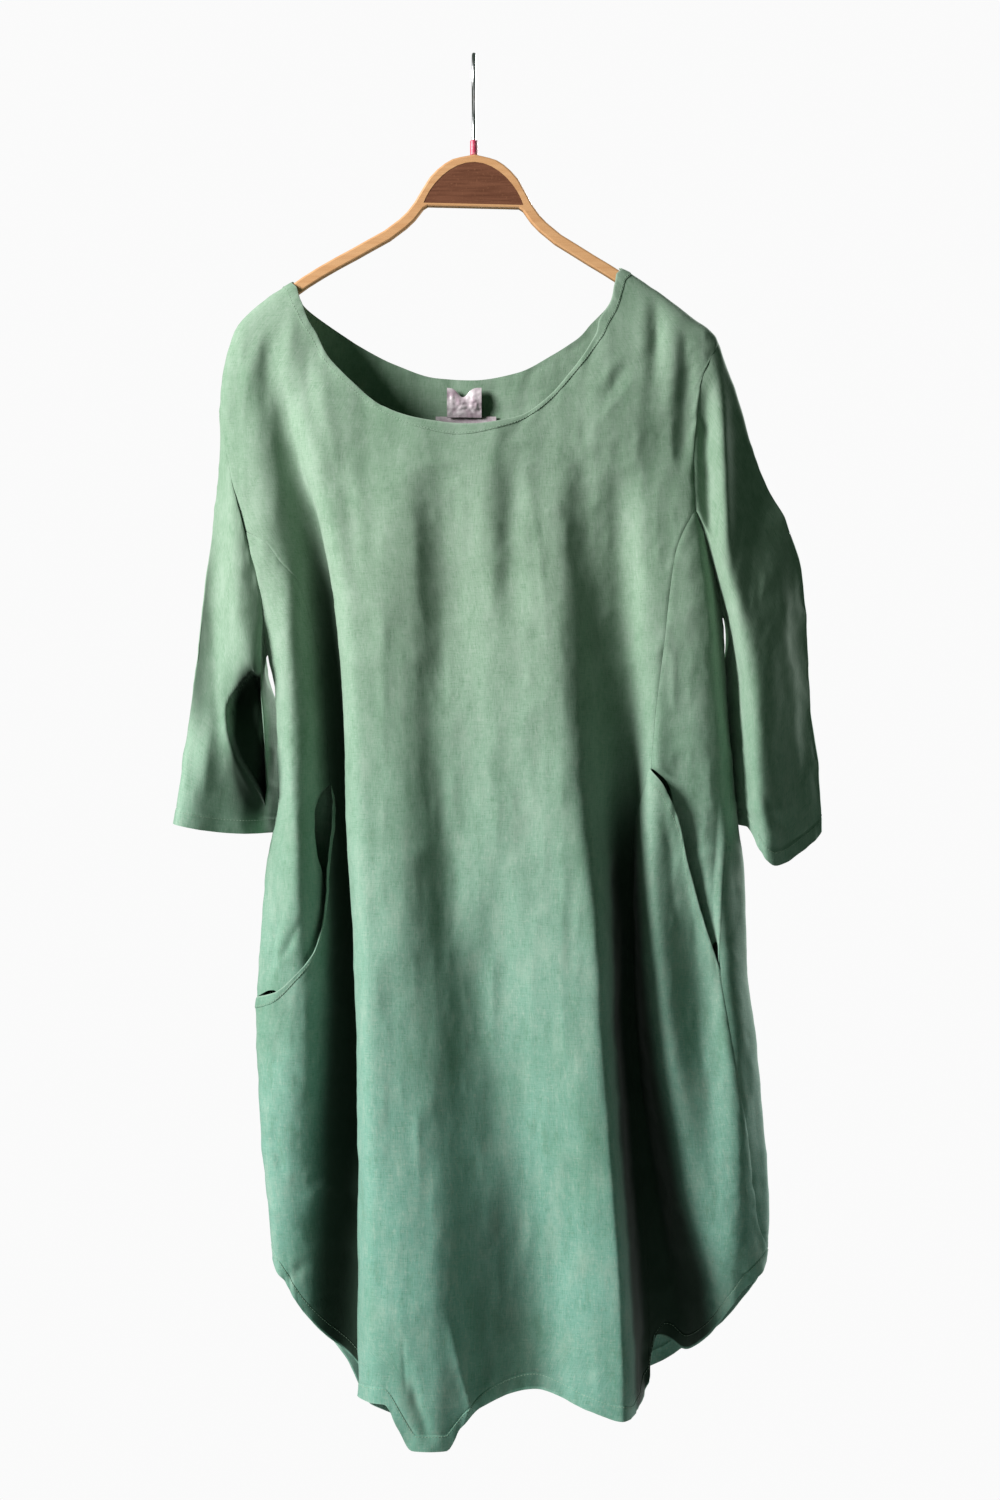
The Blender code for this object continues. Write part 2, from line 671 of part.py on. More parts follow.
def cloth_wall(name, points, normals, thickness, finish, round_tube=False):
    """A piece of cloth with two sides and a rim, from a grid of points on its middle."""
    rows, columns = points.shape[:2]
    outer = (points + normals * thickness / 2).reshape(-1, 3)
    inner = (points - normals * thickness / 2).reshape(-1, 3)
    index = np.arange(rows * columns).reshape(rows, columns)
    if round_tube:
        index = np.concatenate([index, index[:, :1]], axis=1)
    shift = rows * columns
    a, b = index[:-1, :-1].ravel(), index[:-1, 1:].ravel()
    c, d = index[1:, 1:].ravel(), index[1:, :-1].ravel()
    flat = points.reshape(-1, 3)
    falling = np.linalg.norm(flat[a] - flat[c], axis=1) < np.linalg.norm(flat[b] - flat[d], axis=1)
    first = np.where(falling[:, None], np.stack([a, b, c], 1), np.stack([a, b, d], 1))
    second = np.where(falling[:, None], np.stack([a, c, d], 1), np.stack([b, c, d], 1))
    half = np.concatenate([first, second])
    edges = [index[0], index[-1][::-1]]
    if not round_tube:
        edges += [index[::-1, 0], index[:, -1]]
    rim = []
    for edge in edges:
        # The rim is split the same way on both sides of a seam, whichever way the edge runs there
        start, end = edge[:-1], edge[1:]
        rising = ((flat[end] - flat[start]) @ SPLIT_WAY > 0)[:, None]
        far_start, far_end = start + shift, end + shift
        one = np.where(rising, np.stack([end, start, far_start], 1), np.stack([start, far_end, end], 1))
        near = np.where(rising, end[:, None], start[:, None])
        other = np.concatenate([near, np.stack([far_start, far_end], 1)], axis=1)
        rim += [one, other]
    faces = np.concatenate([half, half[:, ::-1] + shift, *rim])
    return add_object(name, np.concatenate([outer, inner]), faces.tolist(), finish)


def panel(name, grid, seams, finish, push=0.0):
    """A cut piece of the body, pushed out of its surface where push says so."""
    points, normals = surface(grid, seams, push)
    points = inset(points, SEAM_GAP / 2, seams)
    cloth_wall(name, points, normals, CLOTH_THICKNESS, finish)


def laid_strip(name, grid, width, finish, push=0.0):
    """A narrow piece that lies on a panel along its upper edge, made from the panel's points moved out."""
    points, normals = surface(grid, ("left", "right"), push)
    points, normals = points[:2], normals[:2]
    along = np.gradient(points[0], axis=0)
    along /= np.linalg.norm(along, axis=-1, keepdims=True)
    down = points[1] - points[0]
    down -= np.sum(down * along, axis=-1, keepdims=True) * along
    share = np.minimum(width / np.linalg.norm(down, axis=-1, keepdims=True), BAND_SHARE)
    share = np.array([0.0, 1.0])[:, None, None] * share
    face = points + normals * (CLOTH_THICKNESS / 2 + LAY_GAP + BAND_THICKNESS / 2)
    strip = face[0] + share * (face[1] - face[0])
    ways = normals[0] + share * (normals[1] - normals[0])
    strip = inset(strip, SEAM_GAP, ("left", "right"))
    cloth_wall(name, strip, ways, BAND_THICKNESS, finish)


def front_grid():
    left = chain(
        seam("shoulder_left", SHOULDER_STEPS),
        seam("armhole_upper_left", ARMHOLE_UPPER_STEPS),
        seam("princess_left", PRINCESS_STEPS),
        seam("skirt_left", SKIRT_STEPS),
    )
    right = chain(
        seam("shoulder_right", SHOULDER_STEPS),
        seam("armhole_upper_right", ARMHOLE_UPPER_STEPS),
        seam("princess_right", PRINCESS_STEPS),
        seam("skirt_right", SKIRT_STEPS),
    )
    neck = seam("neck_front", FRONT_STEPS, FRONT_CROWDING)
    hem = seam("hem_front", FRONT_STEPS, FRONT_CROWDING)
    return between(neck, hem, left, right)


def back_grid():
    right = chain(
        seam("shoulder_right", SHOULDER_STEPS),
        seam("armhole_back_right", ARMHOLE_BACK_STEPS),
        seam("side_upper_right", PRINCESS_STEPS + HIDDEN_STEPS),
        seam("side_lower_right", SKIRT_STEPS),
    )
    left = chain(
        seam("shoulder_left", SHOULDER_STEPS),
        seam("armhole_back_left", ARMHOLE_BACK_STEPS),
        seam("side_upper_left", PRINCESS_STEPS + HIDDEN_STEPS),
        seam("side_lower_left", SKIRT_STEPS),
    )
    # The left edge is place -1 as the front counts it and 3 as the back does
    left[left[:, 0] < 0, 0] += 4
    neck = seam("neck_back", BACK_STEPS, BACK_CROWDING)
    hem = seam("hem_back", BACK_STEPS, BACK_CROWDING)
    return between(neck, hem, right, left)


def pocket_grid(side):
    """The full lower side front, from the pocket mouth to the hem and from the centre front out."""
    return between(
        seam("mouth_" + side, POCKET_STEPS, POCKET_CROWDING),
        seam("hem_side_" + side, POCKET_STEPS, POCKET_CROWDING),
        seam("skirt_" + side, SKIRT_STEPS),
        seam("side_lower_" + side, SKIRT_STEPS),
    )


def side_front_grid(side):
    """The upper side front, whose lower edge is hidden down inside the pocket."""
    inner = chain(seam("princess_" + side, PRINCESS_STEPS), seam("hidden_edge_" + side, HIDDEN_STEPS))
    # Its corner stops a little above the start of the pocket mouth
    inner[PRINCESS_STEPS] += CORNER_SHARE * (inner[PRINCESS_STEPS - 1] - inner[PRINCESS_STEPS])
    return between(
        seam("armhole_lower_" + side, ARMHOLE_LOWER_STEPS),
        seam("hidden_hem_" + side, ARMHOLE_LOWER_STEPS),
        inner,
        seam("side_upper_" + side, PRINCESS_STEPS + HIDDEN_STEPS),
    )


def mouth_push(grid, gape):
    """How far the pocket's outer layer stands out, most at the middle of its mouth."""
    across = np.linspace(0, 1, grid.shape[1])[None]
    points = body(grid[..., 0], grid[..., 1])
    below = np.linalg.norm(points - points[:1], axis=-1)
    return gape * np.sin(np.pi * across) * np.exp(-((below / MOUTH_FADE) ** 2))


def tuck_push(grid):
    """How far the upper side front is tucked in behind the pocket, and nowhere along its seams."""
    across = np.linspace(0, 1, grid.shape[1])[None]
    row = np.arange(grid.shape[0])[:, None]
    sewn = row <= PRINCESS_STEPS
    beside_seams = np.where(sewn, ramp(across / 0.2), 1) * ramp((1 - across) / 0.25)
    return -MOUTH_TUCK * beside_seams * ramp((row - PRINCESS_STEPS + 2) / 3)


def armhole_loop(side):
    """The armhole as places and heights, from the shoulder down its front to the underarm and up its back."""
    front = chain(
        seam("armhole_upper_" + side, ARMHOLE_UPPER_STEPS),
        seam("armhole_lower_" + side, ARMHOLE_LOWER_STEPS),
    )
    back = seam("armhole_back_" + side, ARMHOLE_BACK_STEPS)[::-1]
    return np.concatenate([front[:-1], back[:-1]])


def sleeve_point(rows, name, angle, along):
    """Points of the round tube, before it is drawn to the armhole: angle 0 is outermost and 90 the front."""
    table = [row[0] for row in rows]
    outer = np.stack([smooth(table, [row[k] for row in rows], along) for k in (1, 2)], -1)
    inner = np.stack([smooth(table, [row[k] for row in rows], along) for k in (3, 4)], -1)
    front = smooth(table, [row[5] for row in rows], along)
    back = smooth(table, [row[6] for row in rows], along)
    turn = np.radians(angle)
    spot = (outer + inner) / 2 + (outer - inner) / 2 * np.cos(turn)[..., None]
    y = -np.where(np.sin(turn) > 0, front, back) * np.sin(turn)
    inward = np.zeros_like(y)
    for fold_angle, fold_along, reach, reach_along, depth in SLEEVE_FOLDS[name]:
        off = (angle - fold_angle) / reach
        inward += depth * np.exp(-(off**2) - ((along - fold_along) / reach_along) ** 2)
    inward *= ramp(along / 0.3)
    y += inward * np.sin(turn)
    drop_angle, drop_reach, drop = CUFF_DROP[name]
    sag = drop * np.exp(-np.abs((angle - drop_angle) / drop_reach) ** 1.4) * ramp((along - 0.55) / 0.45)
    return np.stack([spot[..., 0], y, spot[..., 1] - sag], -1)


def sleeve(side, rows, finish):
    """A sleeve, from its armhole to its cuff."""
    name = "sleeve_" + side
    loop = armhole_loop(side)
    hole = body(loop[:, 0], loop[:, 1])
    hole_normals = body_normals(loop[:, 0], loop[:, 1])
    front_steps = ARMHOLE_UPPER_STEPS + ARMHOLE_LOWER_STEPS
    angles = np.zeros(len(loop))
    closed = np.concatenate([hole, hole[:1]])
    length = np.concatenate([[0], np.cumsum(np.linalg.norm(np.diff(closed, axis=0), axis=1))])
    half = length[front_steps]
    angles[:front_steps] = 180 * length[:front_steps] / half
    angles[front_steps:] = 180 + 180 * (length[front_steps:-1] - half) / (length[-1] - half)
    along = np.linspace(0, 1, SLEEVE_STEPS + 1)[:, None]
    turn, along = np.broadcast_arrays(angles[None], along)
    correction = hole[None] - sleeve_point(rows, name, angles, np.zeros(len(loop)))[None]

    def surface(turn, along):
        fade = np.clip(1 - along / SLEEVE_BLEND, 0, 1)[..., None] ** 2
        return sleeve_point(rows, name, turn, along) + correction * fade

    points = surface(turn, along)
    step = 0.01
    down = surface(turn, np.minimum(along + step, 1)) - surface(turn, np.maximum(along - step, 0))
    round_it = np.roll(points, -1, axis=1) - np.roll(points, 1, axis=1)
    normals = np.cross(down, round_it)
    normals /= np.linalg.norm(normals, axis=-1, keepdims=True)
    outward = np.sum(normals[-1] * (points[-1] - points[-1].mean(axis=0))) > 0
    if not outward:
        normals = -normals
    normals[0] = hole_normals
    normals[1] = normals[1] + hole_normals * 0.5
    normals[1] /= np.linalg.norm(normals[1], axis=-1, keepdims=True)
    ring_way = np.roll(points[0], -1, axis=0) - np.roll(points[0], 1, axis=0)
    away = np.cross(ring_way, hole_normals)
    away *= np.sign(np.sum(away * (points[1] - points[0])))
    points[0] += away / np.linalg.norm(away, axis=-1, keepdims=True) * SEAM_GAP
    cloth_wall(name, points, normals, CLOTH_THICKNESS, finish, round_tube=True)


def outline_solid(name, outline, y_front, y_back, finish, tilt=0.0):
    """A flat outline in the X and Z plane, given a depth and turned a little about the hanger's middle."""
    count = len(outline)
    cosine, sine = math.cos(tilt), math.sin(tilt)
    drop = [(x, z - BAR_TURNS_ABOUT) for x, z in outline]
    turned = [(x * cosine + z * sine, BAR_TURNS_ABOUT + z * cosine - x * sine) for x, z in drop]
    points = [(x, y_front, z) for x, z in turned] + [(x, y_back, z) for x, z in turned]
    faces = [list(range(count)), list(range(2 * count - 1, count - 1, -1))]
    faces += [[i, (i + 1) % count, (i + 1) % count + count, i + count] for i in range(count)]
    return add_object(name, points, faces, finish, smooth_angle=30.0)


def plate_outline(grow):
    """A half-disc with a flat lower edge."""
    arc = np.linspace(0, math.pi, 17)
    half = PLATE_HALF_WIDTH + grow
    tall = PLATE_TOP - PLATE_BOTTOM + grow
    bottom = PLATE_BOTTOM - grow / 2
    return [
        (half * math.cos(a) * (1 - PLATE_SLOPE * math.sin(a)), bottom + tall * math.sin(a) ** PLATE_POINT)
        for a in arc
    ]


def hanger(wood, brown):
    distance = [row[0] for row in BAR_TOP]
    height = [row[1] for row in BAR_TOP]
    stations = np.concatenate([np.linspace(0, 70, 11), np.linspace(84, distance[-1], 9)])
    top = smooth(distance, height, stations)
    slope = np.gradient(top, stations)
    length = np.hypot(1, slope)
    low_x = stations + BAR_HEIGHT * slope / length
    low_z = top - BAR_HEIGHT / length
    under = low_z < BAR_MIDDLE_BOTTOM
    edge = list(zip(low_x[under], low_z[under]))
    right = list(zip(stations, top)) + edge[::-1] + [(edge[0][0] - 4, BAR_MIDDLE_BOTTOM)]
    left = [(-x, z) for x, z in right[::-1] if x > 0]
    bar = outline_solid("hanger_bar", right + left, -BAR_DEPTH / 2, BAR_DEPTH / 2, wood, BAR_TILT)
    soften = bar.modifiers.new("edges", "BEVEL")
    soften.width = 1.6 * MM
    soften.segments = 2
    soften.limit_method = "ANGLE"
    soften.angle_limit = math.radians(50)
    floor = -BAR_DEPTH / 2 + PLATE_RECESS
    recess = outline_solid(
        "plate_recess", plate_outline(SEAM_GAP), floor - CUTTER_DEPTH, floor, wood, BAR_TILT
    )
    recess.hide_render = True
    recess.display_type = "WIRE"
    cut = bar.modifiers.new("recess", "BOOLEAN")
    cut.operation = "DIFFERENCE"
    cut.object = recess
    cut.solver = "EXACT"
    plate_back = floor - SEAM_GAP
    outline_solid("hanger_plate", plate_outline(0), plate_back - PLATE_THICKNESS, plate_back, brown, BAR_TILT)


def hook(chrome, pink):
    """A round wire that rises from the hanger, bends forward and curls back over the rail."""
    centre = -HOOK_RADIUS
    arc = np.radians(np.linspace(205, -12, 27))
    radius = HOOK_RADIUS + WIRE_RADIUS
    curl = [(0.0, radius * math.cos(a), centre + radius * math.sin(a)) for a in arc]
    low = HOOK_FOOT + SEAM_GAP
    stem = [(0.0, 0.0, low), (0.0, 0.0, low + 24), (0.0, -2.5, low + 36), (0.0, -10.0, low + 48)]
    path = spaced(stem + curl, 44, scale=(1.0, 1.0, 1.0))
    wire = bpy.data.curves.new("hook", "CURVE")
    wire.dimensions = "3D"
    wire.bevel_depth = WIRE_RADIUS * MM
    wire.bevel_resolution = 3
    wire.use_fill_caps = True
    spline = wire.splines.new("POLY")
    spline.points.add(len(path) - 1)
    for point, spot in zip(spline.points, path):
        point.co = (*(spot * MM), 1.0)
    wire.materials.append(chrome)
    bpy.context.scene.collection.objects.link(bpy.data.objects.new("hook", wire))

    profile = (
        (WIRE_RADIUS + SEAM_GAP, low),
        (COLLAR_RADIUS + 0.8, low),
        (COLLAR_RADIUS + 0.8, low + COLLAR_HEIGHT - 1),
        (WIRE_RADIUS + SEAM_GAP + 0.5, low + COLLAR_HEIGHT),
        (WIRE_RADIUS + SEAM_GAP, low + COLLAR_HEIGHT),
    )
    turns = np.radians(np.arange(0, 360, 22.5))
    points = [(r * math.cos(t), r * math.sin(t), z) for t in turns for r, z in profile]
    size = len(profile)
    ring = np.arange(len(turns))[:, None] * size
    after = np.roll(ring, -1)
    corner = np.arange(size)[None]
    turned = np.roll(corner, -1)
    faces = np.stack([ring + corner, after + corner, after + turned, ring + turned], -1)
    add_object("hook_sleeve", points, faces.reshape(-1, 4).tolist(), pink)


def label(name, x_from, x_to, top, bottom, lift, finish, thickness=1.0):
    """A bare woven label that lies on the inside of the back."""
    columns = np.linspace(x_from, x_to, 5)
    rows = np.linspace(top, bottom, 4)
    x, height = np.meshgrid(columns, rows)
    place = place_of(x, height, BACK)
    normals = body_normals(place, height)
    points = body(place, height) - normals * (CLOTH_THICKNESS / 2 + lift + thickness / 2)
    cloth_wall(name, points, normals, thickness, finish)


for old in list(bpy.data.objects):
    bpy.data.objects.remove(old, do_unlink=True)

linen = material("linen", LINEN, 0.9)
linen_skirt = material("linen_skirt", LINEN_DEEP, 0.9)
linen_band = material("linen_band", LINEN, 0.85)
satin = material("satin", SATIN, 0.35)
wood = material("wood", BEECH, 0.45)
brown = material("brown_plate", PLATE_BROWN, 0.4)
chrome = material("chrome", CHROME, 0.15, 1.0)
pink = material("pink_collar", COLLAR_PINK, 0.4)

front = front_grid()
back = back_grid()
panel("front_panel", front, ("left", "right"), linen)
panel("back_panel", back, ("left", "right"), linen)
laid_strip("neckband_front", front, NECK_BAND_WIDTH, linen_band)
laid_strip("neckband_back", back, NECK_BAND_WIDTH, linen_band)
for side, gape in (("left", MOUTH_GAPE_LEFT), ("right", MOUTH_GAPE_RIGHT)):
    pocket = pocket_grid(side)
    push = mouth_push(pocket, gape)
    panel("pocket_front_" + side, pocket, ("left", "right"), linen_skirt, push)
    laid_strip("pocket_band_" + side, pocket, POCKET_BAND_WIDTH, linen_band, push)
    upper = side_front_grid(side)
    panel("side_front_" + side, upper, ("top", "left", "right"), linen, tuck_push(upper))
sleeve("left", SLEEVE_LEFT, linen)
sleeve("right", SLEEVE_RIGHT, linen)
label("loop_label", -26.0, 7.0, -311.0, -340.0, 2.0, satin)
label("care_label", -37.0, 21.0, -338.5, -372.0, 0.35, satin)
hanger(wood, brown)
hook(chrome, pink)
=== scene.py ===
# The looks of a linen dress on its wooden hanger. The cloth is worked out as one surface round the hollow of
# the dress, then creased, puckered and given its seams, hems and stitches. Sizes in the tables are millimetres
# unless a note says otherwise. Creases are laid in the front view's own units, as they are seen from the camera.
import math

import bpy
import numpy as np
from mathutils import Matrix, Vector


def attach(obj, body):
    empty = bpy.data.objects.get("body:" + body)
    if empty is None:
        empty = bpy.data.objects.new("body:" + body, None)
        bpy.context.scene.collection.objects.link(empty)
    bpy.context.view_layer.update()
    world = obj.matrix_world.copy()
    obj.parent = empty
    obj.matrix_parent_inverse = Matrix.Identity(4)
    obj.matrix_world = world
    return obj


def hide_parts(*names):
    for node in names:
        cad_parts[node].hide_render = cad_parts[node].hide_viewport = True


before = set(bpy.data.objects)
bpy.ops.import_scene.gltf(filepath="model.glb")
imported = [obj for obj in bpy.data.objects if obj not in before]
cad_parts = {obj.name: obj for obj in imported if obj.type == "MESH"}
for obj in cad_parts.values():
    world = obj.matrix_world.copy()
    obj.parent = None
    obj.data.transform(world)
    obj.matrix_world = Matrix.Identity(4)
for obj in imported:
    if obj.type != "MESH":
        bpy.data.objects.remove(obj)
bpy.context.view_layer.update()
mm = 0.001

frontSide, backSide = -1, 1
edge = 999.0  # an x beyond the side edge: the point lies on the edge

view = {
    "width": 1000,
    "height": 1500,
    "scale": 0.95,  # millimetres of the middle plane in one unit of the front view
    "distance": 3000.0,
    "middle": (24.7, -658.0),
}

cloth = {
    "thickness": 0.8,
    "seamGap": 0.12,
    "hemWidth": 15.0,
    "hemThickness": 1.7,
    "placeLength": 330.0,  # about how far one step of place is round the body
    "eveningRounds": 240,
    "fineRounds": 30,
    "eveningShare": 0.7,
    "seamSamples": 1600,
}

steps = {
    # coarse steps along each seam, the same on the left and the right
    "shoulder": 5, "armholeUpper": 5, "armholeLower": 5, "armholeBack": 10, "princess": 8, "hiddenEdge": 5,
    "hiddenHem": 5, "sideUpper": 13, "sideLower": 13, "skirt": 13, "mouth": 10, "hemSide": 10,
    "neckFront": 28, "hemFront": 28, "neckBack": 28, "hemBack": 28,
}
crowding = {
    # how much shorter the steps get towards a seam's ends
    "neckFront": 0.45, "hemFront": 0.45, "neckBack": 0.15, "hemBack": 0.15, "mouth": 0.25, "hemSide": 0.25,
}

bodyRings = (
    # height, left, right, front, back, roundness
    (-195, -136, 128, 13, 13, 0.50),
    (-200, -145, 137, 14, 14, 0.50),
    (-214, -171, 160, 16, 15, 0.50),
    (-230, -197, 183, 18, 17, 0.52),
    (-250, -217.5, 208, 21, 19, 0.54),
    (-267, -228, 231, 24, 21, 0.56),
    (-288, -236, 236.5, 28, 23, 0.60),
    (-335, -241, 235, 37, 28, 0.65),
    (-392, -240, 232, 43, 32, 0.72),
    (-449, -230, 232.5, 47, 35, 0.76),
    (-525, -208, 237, 50, 38, 0.80),
    (-610, -189, 241, 53, 42, 0.80),
    (-700, -186, 247, 57, 46, 0.80),
    (-762, -197, 255, 61, 49, 0.80),
    (-850, -203, 257.5, 66, 54, 0.80),
    (-943, -206, 268, 71, 58, 0.80),
    (-1038, -200.5, 276, 76, 61, 0.80),
    (-1104, -194, 279, 79, 64, 0.80),
    (-1180, -185, 271, 80, 66, 0.80),
    (-1315, -172, 258, 80, 66, 0.80),
)

b = backSide
seams = {
    # name: x and height, with b where the point is on the back, from the top down or from the middle out
    "shoulderLeft": ((-edge, -214), (-edge, -267), (-edge, -335)),
    "shoulderRight": ((edge, -200.5), (edge, -235), (edge, -268)),
    "armholeUpperLeft": ((-edge, -335), (-238, -361), (-229, -403), (-217, -451)),
    "armholeLowerLeft": ((-217, -451), (-207, -488), (-199.5, -526), (-edge, -566)),
    "armholeBackLeft": (
        (-edge, -335, b), (-228, -385, b), (-212, -440, b), (-200, -500, b), (-195, -540, b), (-edge, -566, b),
    ),
    "armholeUpperRight": ((edge, -268), (226, -284), (213, -318), (206.5, -391), (208.5, -431)),
    "armholeLowerRight": ((208.5, -431), (217, -455), (225, -480), (233, -510), (236, -530)),
    "armholeBackRight": (
        (edge, -268, b), (222, -305, b), (211, -360, b), (210, -420, b), (222, -480, b), (234, -520, b),
        (236, -530),
    ),
    "princessLeft": (
        (-217, -451), (-197, -461), (-184, -479), (-166, -500), (-149, -555), (-140, -630), (-137, -691),
    ),
    "princessRight": ((208.5, -431), (197, -452), (190, -470), (185, -500), (181, -534), (175, -602), (170, -675)),
    "skirtLeft": (
        (-137, -691), (-126, -733), (-116, -777), (-110, -878), (-104.5, -985), (-105, -1128), (-100, -1252),
    ),
    "skirtRight": (
        (170, -675), (162, -702), (152, -740), (146, -800), (148, -890), (153, -985), (161, -1083), (166, -1160),
        (168, -1262),
    ),
    "sideUpperLeft": ((-edge, -566), (-edge, -730), (-edge, -893)),
    "sideLowerLeft": ((-edge, -893), (-edge, -1010), (-edge, -1140)),
    "sideUpperRight": ((236, -530), (240, -600), (243, -677), (238, -763), (234.5, -862)),
    "sideLowerRight": ((234.5, -862), (246, -932), (262, -1020), (272, -1100), (edge, -1140)),
    "hiddenEdgeLeft": ((-137, -691), (-147, -712), (-146, -745), (-135, -795), (-128, -850), (-128, -905)),
    "hiddenEdgeRight": ((170, -675), (186, -690), (191, -712), (187, -750), (184, -810), (188, -880)),
    "hiddenHemLeft": ((-128, -905), (-150, -914), (-172, -903), (-190, -884), (-edge, -893)),
    "hiddenHemRight": ((188, -880), (204, -872), (219, -850), (230.5, -838), (234.5, -862)),
    "mouthLeft": (
        (-137, -691), (-139, -752), (-142, -805), (-150, -843), (-168, -870), (-186, -886), (-edge, -893),
    ),
    "mouthRight": ((170, -675), (182, -694), (197, -727), (210, -766), (223, -817), (234.5, -862)),
    "neckFront": (
        (-edge, -214), (-168.5, -219), (-163, -234), (-152, -259), (-135, -289), (-111, -314), (-85, -335),
        (-51, -347), (-4, -352), (41, -345), (70, -326), (95, -297), (116, -263), (129, -234), (133, -217),
        (135.5, -206), (edge, -200.5),
    ),
    "neckBack": (
        (edge, -200.5, b), (135, -208, b), (129, -233, b), (101, -263, b), (75, -280, b), (41, -297, b),
        (-2, -304, b), (-36, -302, b), (-74, -290, b), (-108, -273, b), (-143, -250, b), (-161, -236, b),
        (-168, -222, b), (-edge, -214, b),
    ),
    "hemFront": (
        (-100, -1252), (-94, -1262), (-65, -1262), (-54, -1284), (-43, -1304), (-19, -1305), (-8, -1285),
        (10, -1267), (57, -1254), (107, -1270), (138, -1279), (158, -1276), (168, -1262),
    ),
    "hemSideLeft": ((-100, -1252), (-121, -1230), (-145, -1209), (-163, -1186), (-178, -1161), (-edge, -1140)),
    "hemSideRight": (
        (168, -1262), (174, -1217), (190, -1222), (213, -1231), (232, -1220), (250, -1194), (264, -1165),
        (edge, -1140),
    ),
    "hemBack": (
        (edge, -1140), (262, -1176, b), (232, -1214, b), (190, -1240, b), (140, -1262, b), (70, -1268, b),
        (0, -1270, b), (-35, -1288, b), (-60, -1304, b), (-98, -1284, b), (-122, -1240, b), (-150, -1205, b),
        (-176, -1164, b), (-edge, -1140, b),
    ),
}

